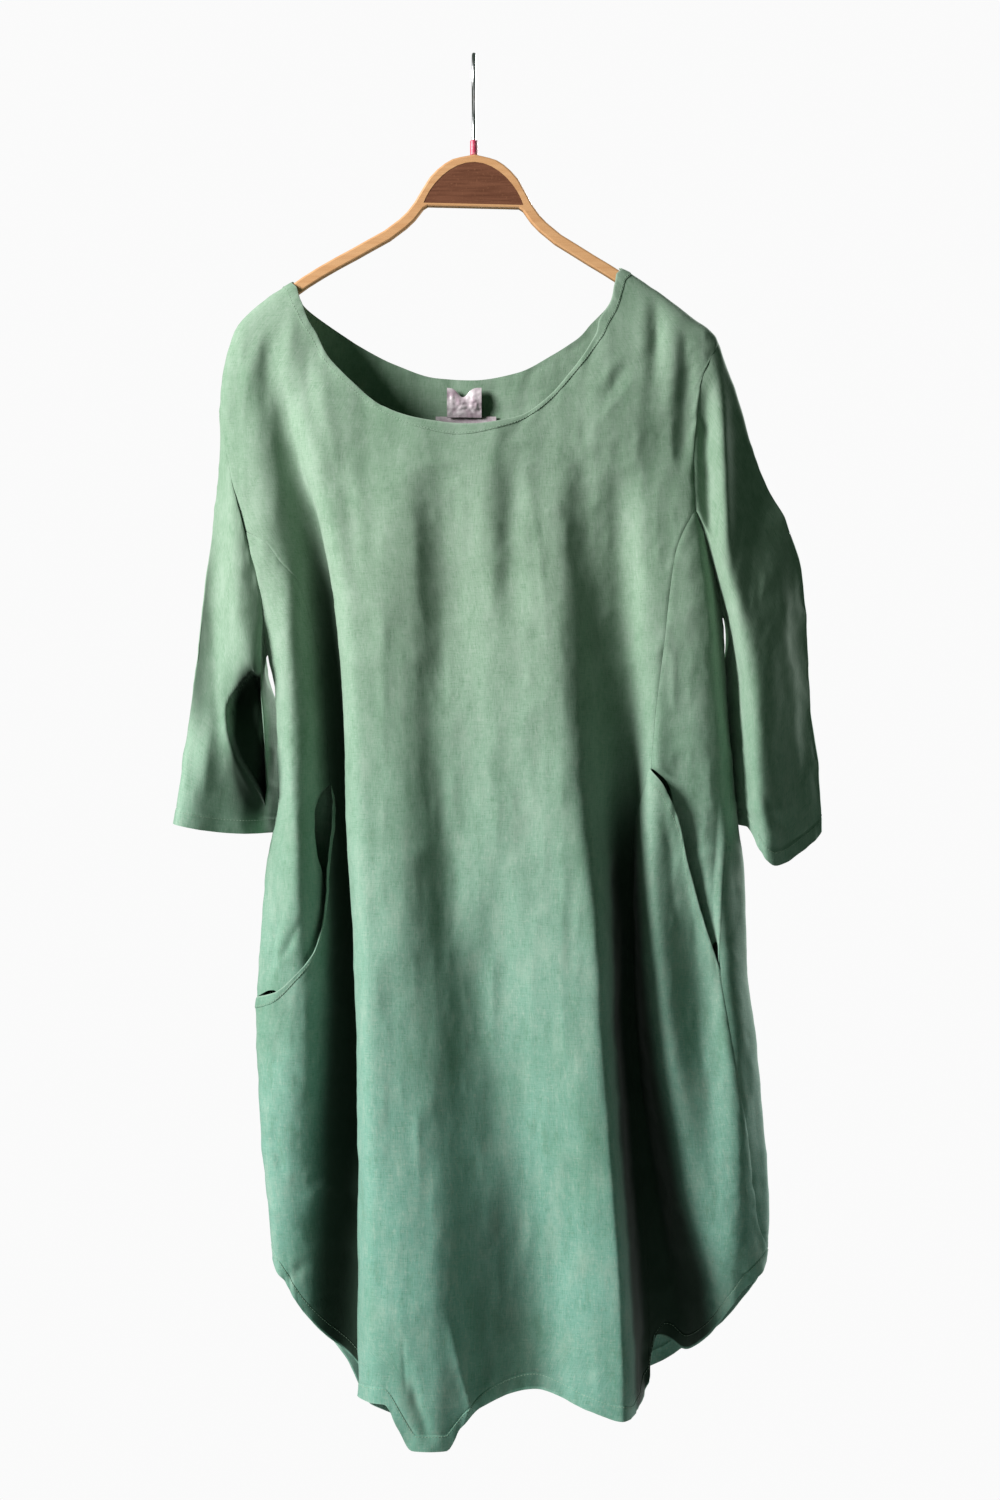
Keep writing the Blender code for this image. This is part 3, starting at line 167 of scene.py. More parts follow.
# The folds of the whole wall, each with its own table down the cloth. A positive depth is a trough and a negative
# one a ridge. The layer to the right of each deep valley rolls out over it to the left. A steepness of 2 is a bell,
# and more gives a flatter floor between steeper walls.
bodyFolds = (
    # name, side of the body, steepness, rows of height, x, depth, reach to the left, reach to the right and roll
    ("valleyLeft", frontSide, 2.3, (
        (-262, -193, 0, 14, 16, 0), (-320, -183, 8, 18, 16, 2), (-390, -165, 20, 24, 16, 6),
        (-450, -147, 32, 30, 16, 10), (-521, -131, 44, 34, 16, 13), (-600, -122, 50, 36, 16, 15),
        (-705, -116, 56, 36, 15, 16), (-877, -107, 64, 38, 15, 17), (-1050, -102, 70, 52, 15, 19),
        (-1180, -104, 70, 56, 16, 20), (-1320, -99, 64, 54, 18, 20),
    )),
    ("valleyRight", frontSide, 3.2, (
        (-370, 120, 0, 34, 26, 0), (-450, 124, 8, 40, 26, 0), (-540, 130, 14, 42, 26, 0),
        (-600, 137, 20, 42, 26, 2), (-700, 149, 34, 38, 16, 4), (-790, 147, 58, 26, 22, 10),
        (-890, 146, 80, 18, 31, 12), (-985, 151, 92, 17, 41, 13), (-1083, 158, 98, 17, 52, 14),
        (-1180, 166, 98, 18, 70, 16), (-1320, 170, 98, 18, 82, 16),
    )),
    ("rollLeft", frontSide, 2, (
        (-360, -158, 0, 8, 50), (-480, -134, -5, 9, 55), (-620, -116, -8, 10, 55), (-880, -98, -9, 10, 55),
        (-1320, -88, -9, 11, 60),
    )),
    ("ridgeLeft", frontSide, 2, (
        (-369, -69, 0, 24, 19), (-481, -57, -6, 26, 19), (-565, -55, -6, 28, 19), (-658, -57, -6, 28, 19),
        (-751, -58, -5, 28, 21), (-845, -50, -5, 32, 21), (-938, -41, -5, 37, 21), (-1031, -35, -6, 41, 22),
        (-1124, -31, -10, 41, 20), (-1264, -29, -12, 41, 20),
    )),
    ("troughMiddle", frontSide, 2, (
        (-350, -31, 0, 24, 28), (-444, -29, 4, 26, 32), (-537, -28, 6, 26, 34), (-630, -26, 7, 26, 35),
        (-705, -22, 8, 26, 35), (-779, -11, 10, 30, 41), (-845, 8, 14, 39, 47), (-938, 25, 20, 43, 50),
        (-1031, 36, 25, 47, 50), (-1124, 45, 28, 47, 48), (-1218, 53, 29, 47, 47), (-1311, 60, 29, 47, 47),
    )),
    ("dentMiddle", frontSide, 2, (
        (-369, 37, 0, 14, 12), (-440, 35, 1.4, 14, 12), (-500, 36, 1.2, 14, 12), (-590, 37, 0, 14, 12),
    )),
    ("ridgeRight", frontSide, 2, (
        (-369, 77, 0, 37, 22), (-462, 87, -3, 41, 24), (-555, 92, -11, 47, 23), (-649, 97, -16, 52, 22),
        (-761, 107, -19, 56, 22), (-845, 114, -19, 58, 34), (-938, 122, -18, 58, 44), (-1031, 132, -18, 58, 46),
        (-1124, 144, -17, 56, 46), (-1218, 150, -15, 54, 46), (-1283, 153, -13, 54, 46),
    )),
    ("ridgeSideRight", frontSide, 2, (
        (-369, 196, 0, 28, 13), (-462, 210, -12, 35, 11), (-555, 220, -14, 39, 12), (-630, 227, -13, 38, 13),
        (-705, 232, -11, 36, 13), (-779, 235, -6, 30, 13), (-835, 230, 0, 28, 15),
    )),
    ("ridgeSideLeft", frontSide, 2, (
        (-462, -171, 0, 11, 11), (-555, -173, -8, 13, 15), (-649, -171, -12, 17, 21), (-723, -166, -16, 21, 22),
        (-798, -164, -13, 22, 19), (-863, -169, 0, 21, 17),
    )),
    ("pocketTrough", frontSide, 2, (
        (-695, 193, 0, 17, 13), (-761, 202, 11, 19, 14), (-826, 213, 14, 21, 15), (-891, 219, 14, 22, 15),
        (-966, 224, 13, 22, 15), (-1031, 228, 10, 21, 15), (-1106, 232, 5, 17, 15), (-1171, 234, 0, 15, 15),
    )),
    ("pocketRidge", frontSide, 2, (
        (-761, 232, 0, 17, 11), (-845, 241, -8, 19, 13), (-938, 249, -10, 21, 13), (-1031, 256, -12, 24, 13),
        (-1115, 263, -8, 24, 13), (-1171, 264, 0, 24, 13),
    )),
    ("shoulderA", frontSide, 2, (
        (-224, 172, 0, 7, 7), (-262, 172, 4, 7, 7), (-313, 169, 0, 8, 8),
    )),
    ("shoulderB", frontSide, 2, (
        (-252, 198, 0, 7, 7), (-304, 200, 2.2, 9, 8), (-369, 196, 2.0, 10, 9), (-416, 193, 0, 9, 8),
    )),
    ("backFirst", backSide, 2, (
        (-340, -150, 0, 26, 16), (-620, -138, 17, 30, 16), (-900, -120, 27, 36, 15), (-1320, -104, 36, 44, 17),
    )),
    ("backSecond", backSide, 2, (
        (-640, -20, 0, 18, 14), (-900, -36, 11, 22, 13), (-1320, -58, 16, 24, 14),
    )),
    ("backThird", backSide, 2, (
        (-330, 92, 0, 26, 18), (-600, 72, 15, 28, 16), (-900, 48, 27, 38, 17), (-1320, 26, 37, 48, 19),
    )),
    ("backFourth", backSide, 2, (
        (-560, 150, 0, 20, 14), (-850, 164, 11, 22, 15), (-1320, 184, 18, 30, 16),
    )),
    ("backSide", backSide, 2, (
        (-660, -182, 0, 16, 16), (-900, -176, 8, 16, 16), (-1320, -165, 9, 18, 16),
    )),
    ("backRidge", backSide, 2, (
        (-420, 10, 0, 24, 18), (-760, 14, -7, 30, 20), (-1320, 4, -9, 34, 22),
    )),
    ("backRidgeRight", backSide, 2, (
        (-420, 112, 0, 24, 18), (-760, 118, -6, 30, 20), (-1320, 118, -9, 34, 22),
    )),
)
folding = {
    "sideFade": 0.35,  # folds fade out where the body turns to its side
    "rimAt": 0.95,  # a roll's rim, and how far it fades to its left, as shares of its fold's reach
    "rimLeft": 0.55,
    "rimRight": 60,
    "sunkenFrom": 6,  # the depths between which a fold counts as sunken
    "sunkenOver": 48,
}


def smooth(xs, ys, at):
    # A monotone cubic through a table's points: each tangent is the harmonic mean of the slopes beside it
    xs, ys = np.asarray(xs, float), np.asarray(ys, float)
    gaps = np.diff(xs)
    slopes = np.diff(ys) / gaps
    tangents = np.zeros_like(ys)
    sameWay = slopes[:-1] * slopes[1:] > 0
    before, after = np.where(sameWay, slopes[:-1], 1), np.where(sameWay, slopes[1:], 1)
    shares = (2 * gaps[1:] + gaps[:-1]) / before + (gaps[1:] + 2 * gaps[:-1]) / after
    tangents[1:-1] = np.where(sameWay, 3 * (gaps[:-1] + gaps[1:]) / np.where(sameWay, shares, 1), 0)
    tangents[0], tangents[-1] = slopes[0], slopes[-1]
    at = np.clip(at, xs[0], xs[-1])
    i = np.clip(np.searchsorted(xs, at) - 1, 0, len(gaps) - 1)
    t = (at - xs[i]) / gaps[i]
    value = (2 * t**3 - 3 * t**2 + 1) * ys[i] + (3 * t**2 - 2 * t**3) * ys[i + 1]
    return value + gaps[i] * ((t**3 - 2 * t**2 + t) * tangents[i] + (t**3 - t**2) * tangents[i + 1])


def byHeight(rows, column, height):
    return smooth([-row[0] for row in rows], [row[column] for row in rows], -np.asarray(height, float))


def ramp(value):
    value = np.clip(value, 0, 1)
    return value * value * (3 - 2 * value)


def unit(vectors):
    return vectors / np.maximum(np.linalg.norm(vectors, axis=-1, keepdims=True), 1e-9)


def ringSides(height):
    left, right = byHeight(bodyRings, 1, height), byHeight(bodyRings, 2, height)
    return (left + right) / 2, (right - left) / 2


def placeOf(x, height, side=frontSide):
    # How far round the body a point lies: 0 middle front, 1 right edge, 2 middle back, -1 or 3 left edge
    middle, half = ringSides(height)
    place = np.arcsin(np.clip((x - middle) / half, -1, 1)) / (math.pi / 2)
    return place if side == frontSide else 2 - place


def foldsAt(x, height, side):
    # How far the cloth goes in, and how far it rolls over to the left: bells across lines that run down the cloth,
    # with the middle, depth and reach to each side that each table gives
    inward, roll = np.zeros_like(x), np.zeros_like(x)
    for name, onSide, steepness, rows in bodyFolds:
        here = (side == onSide) & (height < rows[0][0])
        middle, depth, left, right, *over = (byHeight(rows, k, height) for k in range(1, len(rows[0])))
        offset = x - middle
        inward += here * depth * np.exp(-(np.abs(offset / np.where(offset < 0, left, right)) ** steepness))
        if over:
            rim = offset - folding["rimAt"] * right
            reach = np.where(rim < 0, folding["rimLeft"] * right, folding["rimRight"])
            roll += here * over[0] * np.exp(-((rim / reach) ** 2))
    return inward, roll


def around(place, height):
    # A point's height, its x as the ring's middle plus half its width by the sine of place, how far it faces the
    # front or back as the cosine, and its side of the body
    place, height = np.broadcast_arrays(np.asarray(place, float), np.asarray(height, float))
    middle, half = ringSides(height)
    facing = np.cos(place * math.pi / 2)
    return height, middle + half * np.sin(place * math.pi / 2), facing, np.where(facing > 0, frontSide, backSide)


def body(place, height):
    # The dress: y stands off by the cosine of place to a power that makes the ring rounder or flatter, less the
    # valleys and folds, which fade out at the side edges
    height, x, facing, side = around(place, height)
    stands = np.where(side == frontSide, byHeight(bodyRings, 3, height), byHeight(bodyRings, 4, height))
    bow = np.abs(facing) ** byHeight(bodyRings, 5, height)
    inward, roll = foldsAt(x, height, side)
    atEdge = ramp(np.abs(facing) / folding["sideFade"])
    return np.stack([x - roll * atEdge, side * (stands * bow - inward * atEdge), height], -1)


def foldShade(place, height):
    # How deep in a fold the cloth lies, 0 to 1: the panels paint shade into the colour of the deep folds by it
    height, x, facing, side = around(place, height)
    inward, _ = foldsAt(x, height, side)
    deep = ramp((inward - folding["sunkenFrom"]) / folding["sunkenOver"])
    return deep * ramp(np.abs(facing) / folding["sideFade"])


def bodyNormals(place, height):
    placeStep, heightStep = 0.012, 1.2
    across = body(place + placeStep, height) - body(place - placeStep, height)
    down = body(place, height - heightStep) - body(place, height + heightStep)
    return unit(np.cross(down, across))


def sampled(line, run, at):
    # A line's values at the given distances, where run holds the distance of each of its points
    return np.stack([np.interp(at, run, line[:, k]) for k in range(line.shape[1])], -1)


def runOf(line):
    return np.concatenate([[0], np.cumsum(np.linalg.norm(np.diff(line, axis=0), axis=1))])


def seam(name, fine):
    # A smooth line through a seam's points, in place and height, cut into its steps and each of them into fine ones
    kind = name.removesuffix("Left").removesuffix("Right")
    scale = (cloth["placeLength"], 1.0)
    points = np.array([(float(placeOf(x, height, *side)), height) for x, height, *side in seams[name]])
    along = runOf(points * scale)
    dense = np.linspace(0, along[-1], cloth["seamSamples"])
    line = np.stack([smooth(along, points[:, k], dense) for k in (0, 1)], -1)
    length = runOf(line * scale)
    even = np.linspace(0, 1, steps[kind] * fine + 1)
    crowd = crowding.get(kind, 0.0)
    return sampled(line, length, length[-1] * ((1 - crowd) * even + crowd * (1 - np.cos(np.pi * even)) / 2))


def chain(*lines):
    return np.concatenate([lines[0]] + [line[1:] for line in lines[1:]])


def evened(grid, rounds):
    # Winslow smoothing: each inner point moves to where its row and column both run evenly
    grid = grid * (cloth["placeLength"], 1.0)
    for _ in range(rounds):
        alongRow = (grid[1:-1, 2:] - grid[1:-1, :-2]) / 2
        alongColumn = (grid[2:, 1:-1] - grid[:-2, 1:-1]) / 2
        rowWeight = np.sum(alongColumn**2, axis=-1, keepdims=True)
        columnWeight = np.sum(alongRow**2, axis=-1, keepdims=True)
        slant = np.sum(alongRow * alongColumn, axis=-1, keepdims=True)
        twist = grid[2:, 2:] - grid[2:, :-2] - grid[:-2, 2:] + grid[:-2, :-2]
        target = rowWeight * (grid[1:-1, 2:] + grid[1:-1, :-2]) + columnWeight * (grid[2:, 1:-1] + grid[:-2, 1:-1])
        target = (target - slant * twist / 2) / (2 * (rowWeight + columnWeight))
        grid[1:-1, 1:-1] += cloth["eveningShare"] * (target - grid[1:-1, 1:-1])
    return grid / (cloth["placeLength"], 1.0)


def between(top, bottom, left, right):
    # Places and heights filled in between four edges: a Coons patch, then evened
    down = np.linspace(0, 1, len(left))[:, None, None]
    across = np.linspace(0, 1, len(top))[None, :, None]
    corners = (1 - down) * ((1 - across) * top[0] + across * top[-1])
    corners = corners + down * ((1 - across) * bottom[0] + across * bottom[-1])
    grid = (1 - across) * left[:, None] + across * right[:, None] + (1 - down) * top + down * bottom - corners
    return evened(grid, cloth["eveningRounds"])


def finerRows(grid, fine):
    # A Catmull-Rom curve down each column, sampled fine times for each row
    ends = np.concatenate([2 * grid[:1] - grid[1:2], grid, 2 * grid[-1:] - grid[-2:-1]])
    before, here, there, beyond = (part[:, None] for part in (ends[:-3], ends[1:-2], ends[2:-1], ends[3:]))
    t = (np.arange(fine) / fine).reshape(1, fine, *[1] * (grid.ndim - 1))
    rows = here + 0.5 * t * (there - before + t * (2 * before - 5 * here + 4 * there - beyond
                             + t * (3 * here - before - 3 * there + beyond)))
    return np.concatenate([rows.reshape(-1, *grid.shape[1:]), grid[-1:]])


cuts = {
    # the seams along the top, bottom, left and right edges of each piece, as it is seen from outside the body
    "front_panel": (
        ("neckFront",), ("hemFront",),
        ("shoulderLeft", "armholeUpperLeft", "princessLeft", "skirtLeft"),
        ("shoulderRight", "armholeUpperRight", "princessRight", "skirtRight"),
    ),
    "back_panel": (
        ("neckBack",), ("hemBack",),
        ("shoulderRight", "armholeBackRight", "sideUpperRight", "sideLowerRight"),
        ("shoulderLeft", "armholeBackLeft", "sideUpperLeft", "sideLowerLeft"),
    ),
}
for side in ("Left", "Right"):
    cuts["pocket_front_" + side.lower()] = (
        ("mouth" + side,), ("hemSide" + side,), ("skirt" + side,), ("sideLower" + side,))
    cuts["side_front_" + side.lower()] = (
        ("armholeLower" + side,), ("hiddenHem" + side,),
        ("princess" + side, "hiddenEdge" + side), ("sideUpper" + side,),
    )


def edgesOf(node, fine):
    edges = [chain(*(seam(name, fine) for name in names)) for names in cuts[node]]
    if node == "back_panel":
        # the left edge is place -1 as the front counts it, and 3 as the back does
        edges[3][edges[3][:, 0] < 0, 0] += 4
    return edges


def fineGrid(node, fine):
    # A piece's places and heights: worked out coarsely between its edges, then drawn finer to its exact edges
    coarse = between(*edgesOf(node, 1))
    grid = finerRows(finerRows(coarse, fine).swapaxes(0, 1), fine).swapaxes(0, 1).copy()
    grid[0], grid[-1], grid[:, 0], grid[:, -1] = edgesOf(node, fine)
    return evened(grid, cloth["fineRounds"])


# The creases, in the front view's units: height out of the cloth in millimetres, width, kind where it isn't soft,
# then its line. A soft crease is a bell across its line, a sharp one a tent, and a fold is a ridge with a trough on
# the side to the right of the way it runs.
frontCreases = (
    # right shoulder
    (-1.4, 9, (660, 296), (657, 352), (650, 420)),
    (1.3, 8, (676, 300), (675, 360), (668, 430)),
    (-1.3, 10, (692, 330), (689, 402), (684, 470)),
    (1.2, 6, "sharp", (625, 352), (606, 377), (588, 400)),
    (-0.9, 5, (634, 356), (616, 381), (600, 408)),
    (1.0, 5, "sharp", (640, 370), (620, 398), (596, 424)),
    # left shoulder, spreading from the hanger's end
    (1.6, 8, (296, 300), (288, 360), (284, 420)),
    (-1.2, 7, (282, 312), (268, 370), (262, 430)),
    (1.3, 6, (268, 320), (250, 372), (240, 424)),
    (-1.0, 6, (306, 330), (308, 390), (318, 450)),
    (1.2, 7, (318, 352), (326, 410), (340, 470)),
    # centre front, upper
    (2.6, 20, (386, 430), (384, 560), (388, 700)),
    (-2.4, 16, (456, 440), (458, 560), (462, 720)),
    (1.3, 15, (494, 440), (496, 520), (498, 620)),
    (-1.5, 12, (512, 450), (510, 530), (512, 640)),
    (2.6, 20, (566, 440), (564, 560), (572, 680)),
    (-2.0, 18, (618, 430), (622, 540), (630, 660)),
    (1.3, 8, "fold", (352, 440), (362, 520), (366, 600)),
    (-1.2, 14, (420, 470), (428, 560), (430, 680)),
    (1.2, 7, "sharp", (530, 480), (540, 560), (548, 640)),
    # centre front, lower
    (2.0, 24, (400, 760), (402, 900), (398, 1040)),
    (-1.6, 16, (450, 780), (446, 880), (452, 980)),
    (1.8, 20, (500, 740), (510, 860), (516, 980)),
    (-1.6, 18, (560, 760), (556, 860), (560, 980)),
    (1.6, 18, (604, 780), (596, 900), (600, 1020)),
    # the hem's slit, its turned edge and the tip
    (-1.6, 3, "sharp", (403, 1330), (404, 1360), (406, 1402)),
    (-3.0, 6, (407, 1372), (416, 1410), (432, 1452)),
    (4.5, 8, "sharp", (442, 1300), (456, 1360), (468, 1405), (456, 1450)),
    (-4.0, 16, (482, 1270), (488, 1340), (490, 1410)),
    # darts at the side corners, and what pulls from them
    (-1.3, 3, "sharp", (708, 1260), (733, 1270), (760, 1280)),
    (-1.3, 3, "sharp", (295, 1316), (318, 1301), (340, 1288)),
    (1.4, 8, (690, 1225), (724, 1240), (764, 1250)),
    (-2.2, 6, (269, 1126), (276, 1152), (285, 1182)),
    (2.0, 7, (300, 1210), (316, 1192), (334, 1174)),
    (1.8, 7, (266, 1203), (286, 1216), (307, 1228)),
    (-2.0, 6, (278, 1290), (294, 1274), (312, 1258)),
    (1.6, 9, (272, 1060), (292, 1090), (318, 1108)),
    (-1.6, 8, (264, 1030), (284, 1062), (312, 1080)),
    # beside the pocket mouths
    (-2.0, 4, (284, 890), (274, 945), (263, 1004)),
    (1.6, 5, (292, 880), (284, 936), (272, 990)),
    (-1.8, 4, (304, 912), (290, 944), (270, 972)),
    (1.6, 6, (330, 905), (322, 960), (302, 1020)),
    (-1.4, 6, (700, 990), (704, 1060), (716, 1130)),
    (1.6, 7, (716, 960), (722, 1030), (736, 1100)),
    (-1.4, 5, (664, 800), (672, 860), (676, 930)),
)
# Painted shade on the front: negative values along lines, which darken the colour in the hem's slit and down a trough
# near the hem
frontPaintedShade = (
    (-0.5, 6, (404, 1368), (414, 1405), (432, 1455)),
    (-0.3, 24, (470, 1130), (482, 1240), (492, 1340), (498, 1430)),
)
backCreases = (
    (3.3, 18, (330, 420), (338, 560), (350, 700)),
    (-2.7, 14, (372, 400), (376, 500), (384, 640)),
    (2.4, 10, (470, 430), (462, 540), (458, 650)),
    (-3.3, 12, (540, 380), (534, 500), (520, 640)),
    (3.6, 16, (610, 380), (600, 520), (590, 680)),
    (-2.4, 9, (668, 360), (660, 470), (648, 600)),
    (1.8, 6, "sharp", (640, 330), (620, 370), (590, 400)),
    (-1.5, 6, (330, 340), (350, 380), (376, 410)),
    (2.4, 7, "fold", (290, 640), (330, 690), (380, 716)),
    (-2.4, 9, (700, 700), (655, 756), (600, 790)),
    (3.0, 20, (420, 800), (428, 940), (420, 1100)),
    (-3.0, 16, (520, 860), (512, 980), (516, 1140)),
    (2.7, 14, (660, 900), (668, 1020), (664, 1150)),
    (-2.4, 10, (310, 980), (322, 1080), (316, 1180)),
    (2.4, 8, "fold", (710, 1040), (684, 1120), (640, 1180)),
    (2.1, 7, "sharp", (350, 1180), (372, 1230), (380, 1290)),
)


def toView(points):
    # Where a point is seen in the front view: its offset from the middle shrinks with its distance
    scale = view["scale"] * (view["distance"] + points[..., 1]) / view["distance"]
    across = view["width"] / 2 + (points[..., 0] - view["middle"][0]) / scale
    return across, view["height"] / 2 - (points[..., 2] - view["middle"][1]) / scale


def nearestOn(line, across, down):
    # How far each point is from a line, where along it the nearest place is, 0 to 1, and the distance with a sign
    # for the side of the line
    runs = runOf(line)
    nearest, along, offset = np.full(across.shape, 1e9), np.zeros(across.shape), np.zeros(across.shape)
    for start, end, run, length in zip(line[:-1], line[1:], runs, np.diff(runs)):
        way = (end - start) / length
        t = np.clip((across - start[0]) * way[0] + (down - start[1]) * way[1], 0, length)
        gapX, gapY = across - start[0] - way[0] * t, down - start[1] - way[1] * t
        gap = np.hypot(gapX, gapY)
        closer = gap < nearest
        nearest = np.where(closer, gap, nearest)
        along = np.where(closer, (run + t) / runs[-1], along)
        offset = np.where(closer, np.sign(way[0] * gapY - way[1] * gapX) * gap, offset)
    return nearest, along, offset


creaseShape = {
    "taper": 0.35,  # share of its length over which a crease fades at each end
    "tent": 1.3,  # how steeply a sharp one falls
    "trough": 0.6,  # the trough beside a fold: its depth, place and width as shares of the ridge's
    "troughAt": 1.8,
    "troughWidth": 1.3,
}


def creased(rows, points):
    # The sum of the creases: each is its height by a bell or tent of the distance to its line, tapered to its ends
    across, down = toView(points)
    total = np.zeros(points.shape[:-1])
    for height, width, *line in rows:
        kind = line.pop(0) if isinstance(line[0], str) else "soft"
        nearest, along, offset = nearestOn(np.asarray(line, float), across, down)
        taper = ramp(along / creaseShape["taper"]) * ramp((1 - along) / creaseShape["taper"])
        if kind == "sharp":
            shape = np.exp(-nearest / width * creaseShape["tent"])
        elif kind == "fold":
            beside = (offset - creaseShape["troughAt"] * width) / (creaseShape["troughWidth"] * width)
            shape = np.exp(-((offset / width) ** 2)) - creaseShape["trough"] * np.exp(-(beside**2))
        else:
            shape = np.exp(-((nearest / width) ** 2))
        total += height * taper * shape
    return total


def hollow(points, outline, depth, wall):
    # Sinks the cloth inside an outline of the front view: full depth a wall's width in from it, by a smooth step
    across, down = toView(points)
    line = np.array([*outline, outline[0]], float)
    nearest, _, _ = nearestOn(line, across, down)
    inside = np.zeros(across.shape, bool)
    for (startX, startY), (endX, endY) in zip(line[:-1], line[1:]):
        if startY != endY:
            crosses = (down < startY) != (down < endY)
            inside ^= crosses & (across < startX + (endX - startX) * (down - startY) / (endY - startY))
    return -depth * ramp(np.where(inside, nearest, 0) / wall)


lattice = {"cells": 48, "shift": 200}
lattices = {}


def cloud(points, size, seed):
    # Random heights on a lattice joined by smooth steps, from -1 to 1, with a bump in about each size
    if seed not in lattices:
        lattices[seed] = np.random.default_rng(seed).uniform(-1, 1, (lattice["cells"],) * 3)
    spot = points / np.asarray(size, float) + lattice["shift"]
    cell = np.floor(spot).astype(int)
    t = spot - cell
    t = t**3 * (t * (t * 6 - 15) + 10)
    total = np.zeros(points.shape[:-1])
    for corner in np.ndindex(2, 2, 2):
        weight = np.prod(np.where(corner, t, 1 - t), axis=-1)
        i, j, k = np.moveaxis((cell + corner) % lattice["cells"], -1, 0)
        total += weight * lattices[seed][i, j, k]
    return total


hang = {
    # seed, height, and size of a bump across, in depth and down
    "waves": ((11, 2.4, (46, 60, 190)), (12, 1.2, (24, 40, 90)), (15, 0.2, (6, 8, 7))),
    "crumples": ((13, 0.8, (34, 40, 46)), (14, 0.34, (15, 20, 19))),
}


def undulation(points):
    # How the cloth hangs between its creases: long soft waves down it, and crumples sharpened at their ridges
    waves = sum(height * cloud(points, size, seed) for seed, height, size in hang["waves"])
    for seed, height, size in hang["crumples"]:
        waves = waves + height * (1 - 2 * np.abs(cloud(points, size, seed)))
    return waves


def turnedTo(grid, side):
    # The same grid, seen with one of its sides on top
    return {"top": grid, "bottom": grid[::-1], "left": grid.swapaxes(0, 1),
            "right": grid[:, ::-1].swapaxes(0, 1)}[side]


def nearEdge(points, side):
    # How far each point is from one edge of its piece, measured along the cloth
    away = np.zeros(points.shape[:2])
    turnedTo(away, side)[1:] = np.cumsum(np.linalg.norm(np.diff(turnedTo(points, side), axis=0), axis=-1), axis=0)
    return away


def gridNormals(points, outwards):
    normals = np.cross(np.gradient(points, axis=0), np.gradient(points, axis=1))
    return unit(normals * np.sign(np.sum(normals * outwards, axis=-1, keepdims=True)))


def flatPlaces(points):
    # UV in metres: how far along its row a point lies from the middle column, and how far down it hangs
    lengths = np.linalg.norm(np.diff(points, axis=1), axis=-1)
    run = np.concatenate([np.zeros((lengths.shape[0], 1)), np.cumsum(lengths, axis=1)], axis=1)
    run = run - run[:, run.shape[1] // 2][:, None]
    return np.stack([run, points[..., 2]], -1) * mm


def meshOf(name, corners, faces):
    mesh = bpy.data.meshes.new(name)
    mesh.vertices.add(len(corners))
    mesh.vertices.foreach_set("co", corners.ravel())
    mesh.loops.add(faces.size)
    mesh.loops.foreach_set("vertex_index", faces.ravel())
    mesh.polygons.add(len(faces))
    mesh.polygons.foreach_set("loop_start", np.arange(0, faces.size, faces.shape[1]))
    mesh.update()
    mesh.validate()
    return mesh


def shell(name, points, normals, thickness, uv, finish, closed=False, wearAndShade=None):
    # A sheet with two faces and a rim: the grid moved half its thickness out and in along its normals
    rows, columns = points.shape[:2]
    thickness = np.broadcast_to(thickness, (rows, columns))[..., None]
    outer = (points + normals * thickness / 2).reshape(-1, 3)
    inner = (points - normals * thickness / 2).reshape(-1, 3)
    index = np.arange(rows * columns).reshape(rows, columns)
    if closed:
        index = np.concatenate([index, index[:, :1]], axis=1)
    quads = np.stack([index[:-1, :-1], index[1:, :-1], index[1:, 1:], index[:-1, 1:]], -1).reshape(-1, 4)
    faceWay = np.cross(outer[quads[:, 1]] - outer[quads[:, 0]], outer[quads[:, 3]] - outer[quads[:, 0]])
    outwards = np.sum(faceWay * normals.reshape(-1, 3)[quads[:, 0]]) > 0
    shift = rows * columns
    edges = [index[0][::-1], index[-1]]
    if not closed:
        edges += [index[:, 0], index[::-1, -1]]
    rims = np.concatenate([
        np.stack([line[1:], line[:-1], line[:-1] + shift, line[1:] + shift], -1) for line in edges])
    faces = np.concatenate([quads, quads[:, ::-1] + shift, rims])
    if not outwards:
        faces = faces[:, ::-1]
    mesh = meshOf(name, np.concatenate([outer, inner]) * mm, faces)
    layer = mesh.uv_layers.new(name="UVMap")
    flat = np.concatenate([uv.reshape(-1, 2)] * 2)
    layer.data.foreach_set("uv", flat[faces.ravel()].ravel())
    # The attribute holds paler worn edges above 0 and painted shade below 0
    if wearAndShade is not None:
        attribute = mesh.attributes.new("wearAndShade", "FLOAT", "POINT")
        attribute.data.foreach_set("value", np.concatenate([np.broadcast_to(wearAndShade, (rows, columns)).ravel()] * 2))
    made = link(name, mesh, finish)
    rim = np.zeros((rows, columns), bool)
    rim[0] = rim[-1] = True
    if not closed:
        rim[:, 0] = rim[:, -1] = True
    ends = np.zeros(len(mesh.edges) * 2, np.int32)
    mesh.edges.foreach_get("vertices", ends)
    ends = ends.reshape(-1, 2)
    onRim = np.concatenate([rim.ravel()] * 2)[ends].all(axis=1) & (ends[:, 0] // shift == ends[:, 1] // shift)
    mesh.attributes.new("sharp_edge", "BOOLEAN", "EDGE").data.foreach_set("value", onRim)
    return made


def added(name, data):
    made = bpy.data.objects.new(name, data)
    bpy.context.scene.collection.objects.link(made)
    return made


def link(name, mesh, finish):
    mesh.shade_smooth()
    mesh.materials.append(finish)
    return added(name, mesh)


class Value:
    # A socket with arithmetic: an expression on values adds the Math nodes that work it out
    def __init__(self, paint, socket):
        self.paint, self.socket = paint, socket

    def math(self, operation, other):
        return self.paint.node("ShaderNodeMath", {"operation": operation}, {0: self, 1: other})

    def __add__(self, other):
        return self.math("ADD", other)

    def __mul__(self, other):
        return self.math("MULTIPLY", other)

    __radd__, __rmul__ = __add__, __mul__


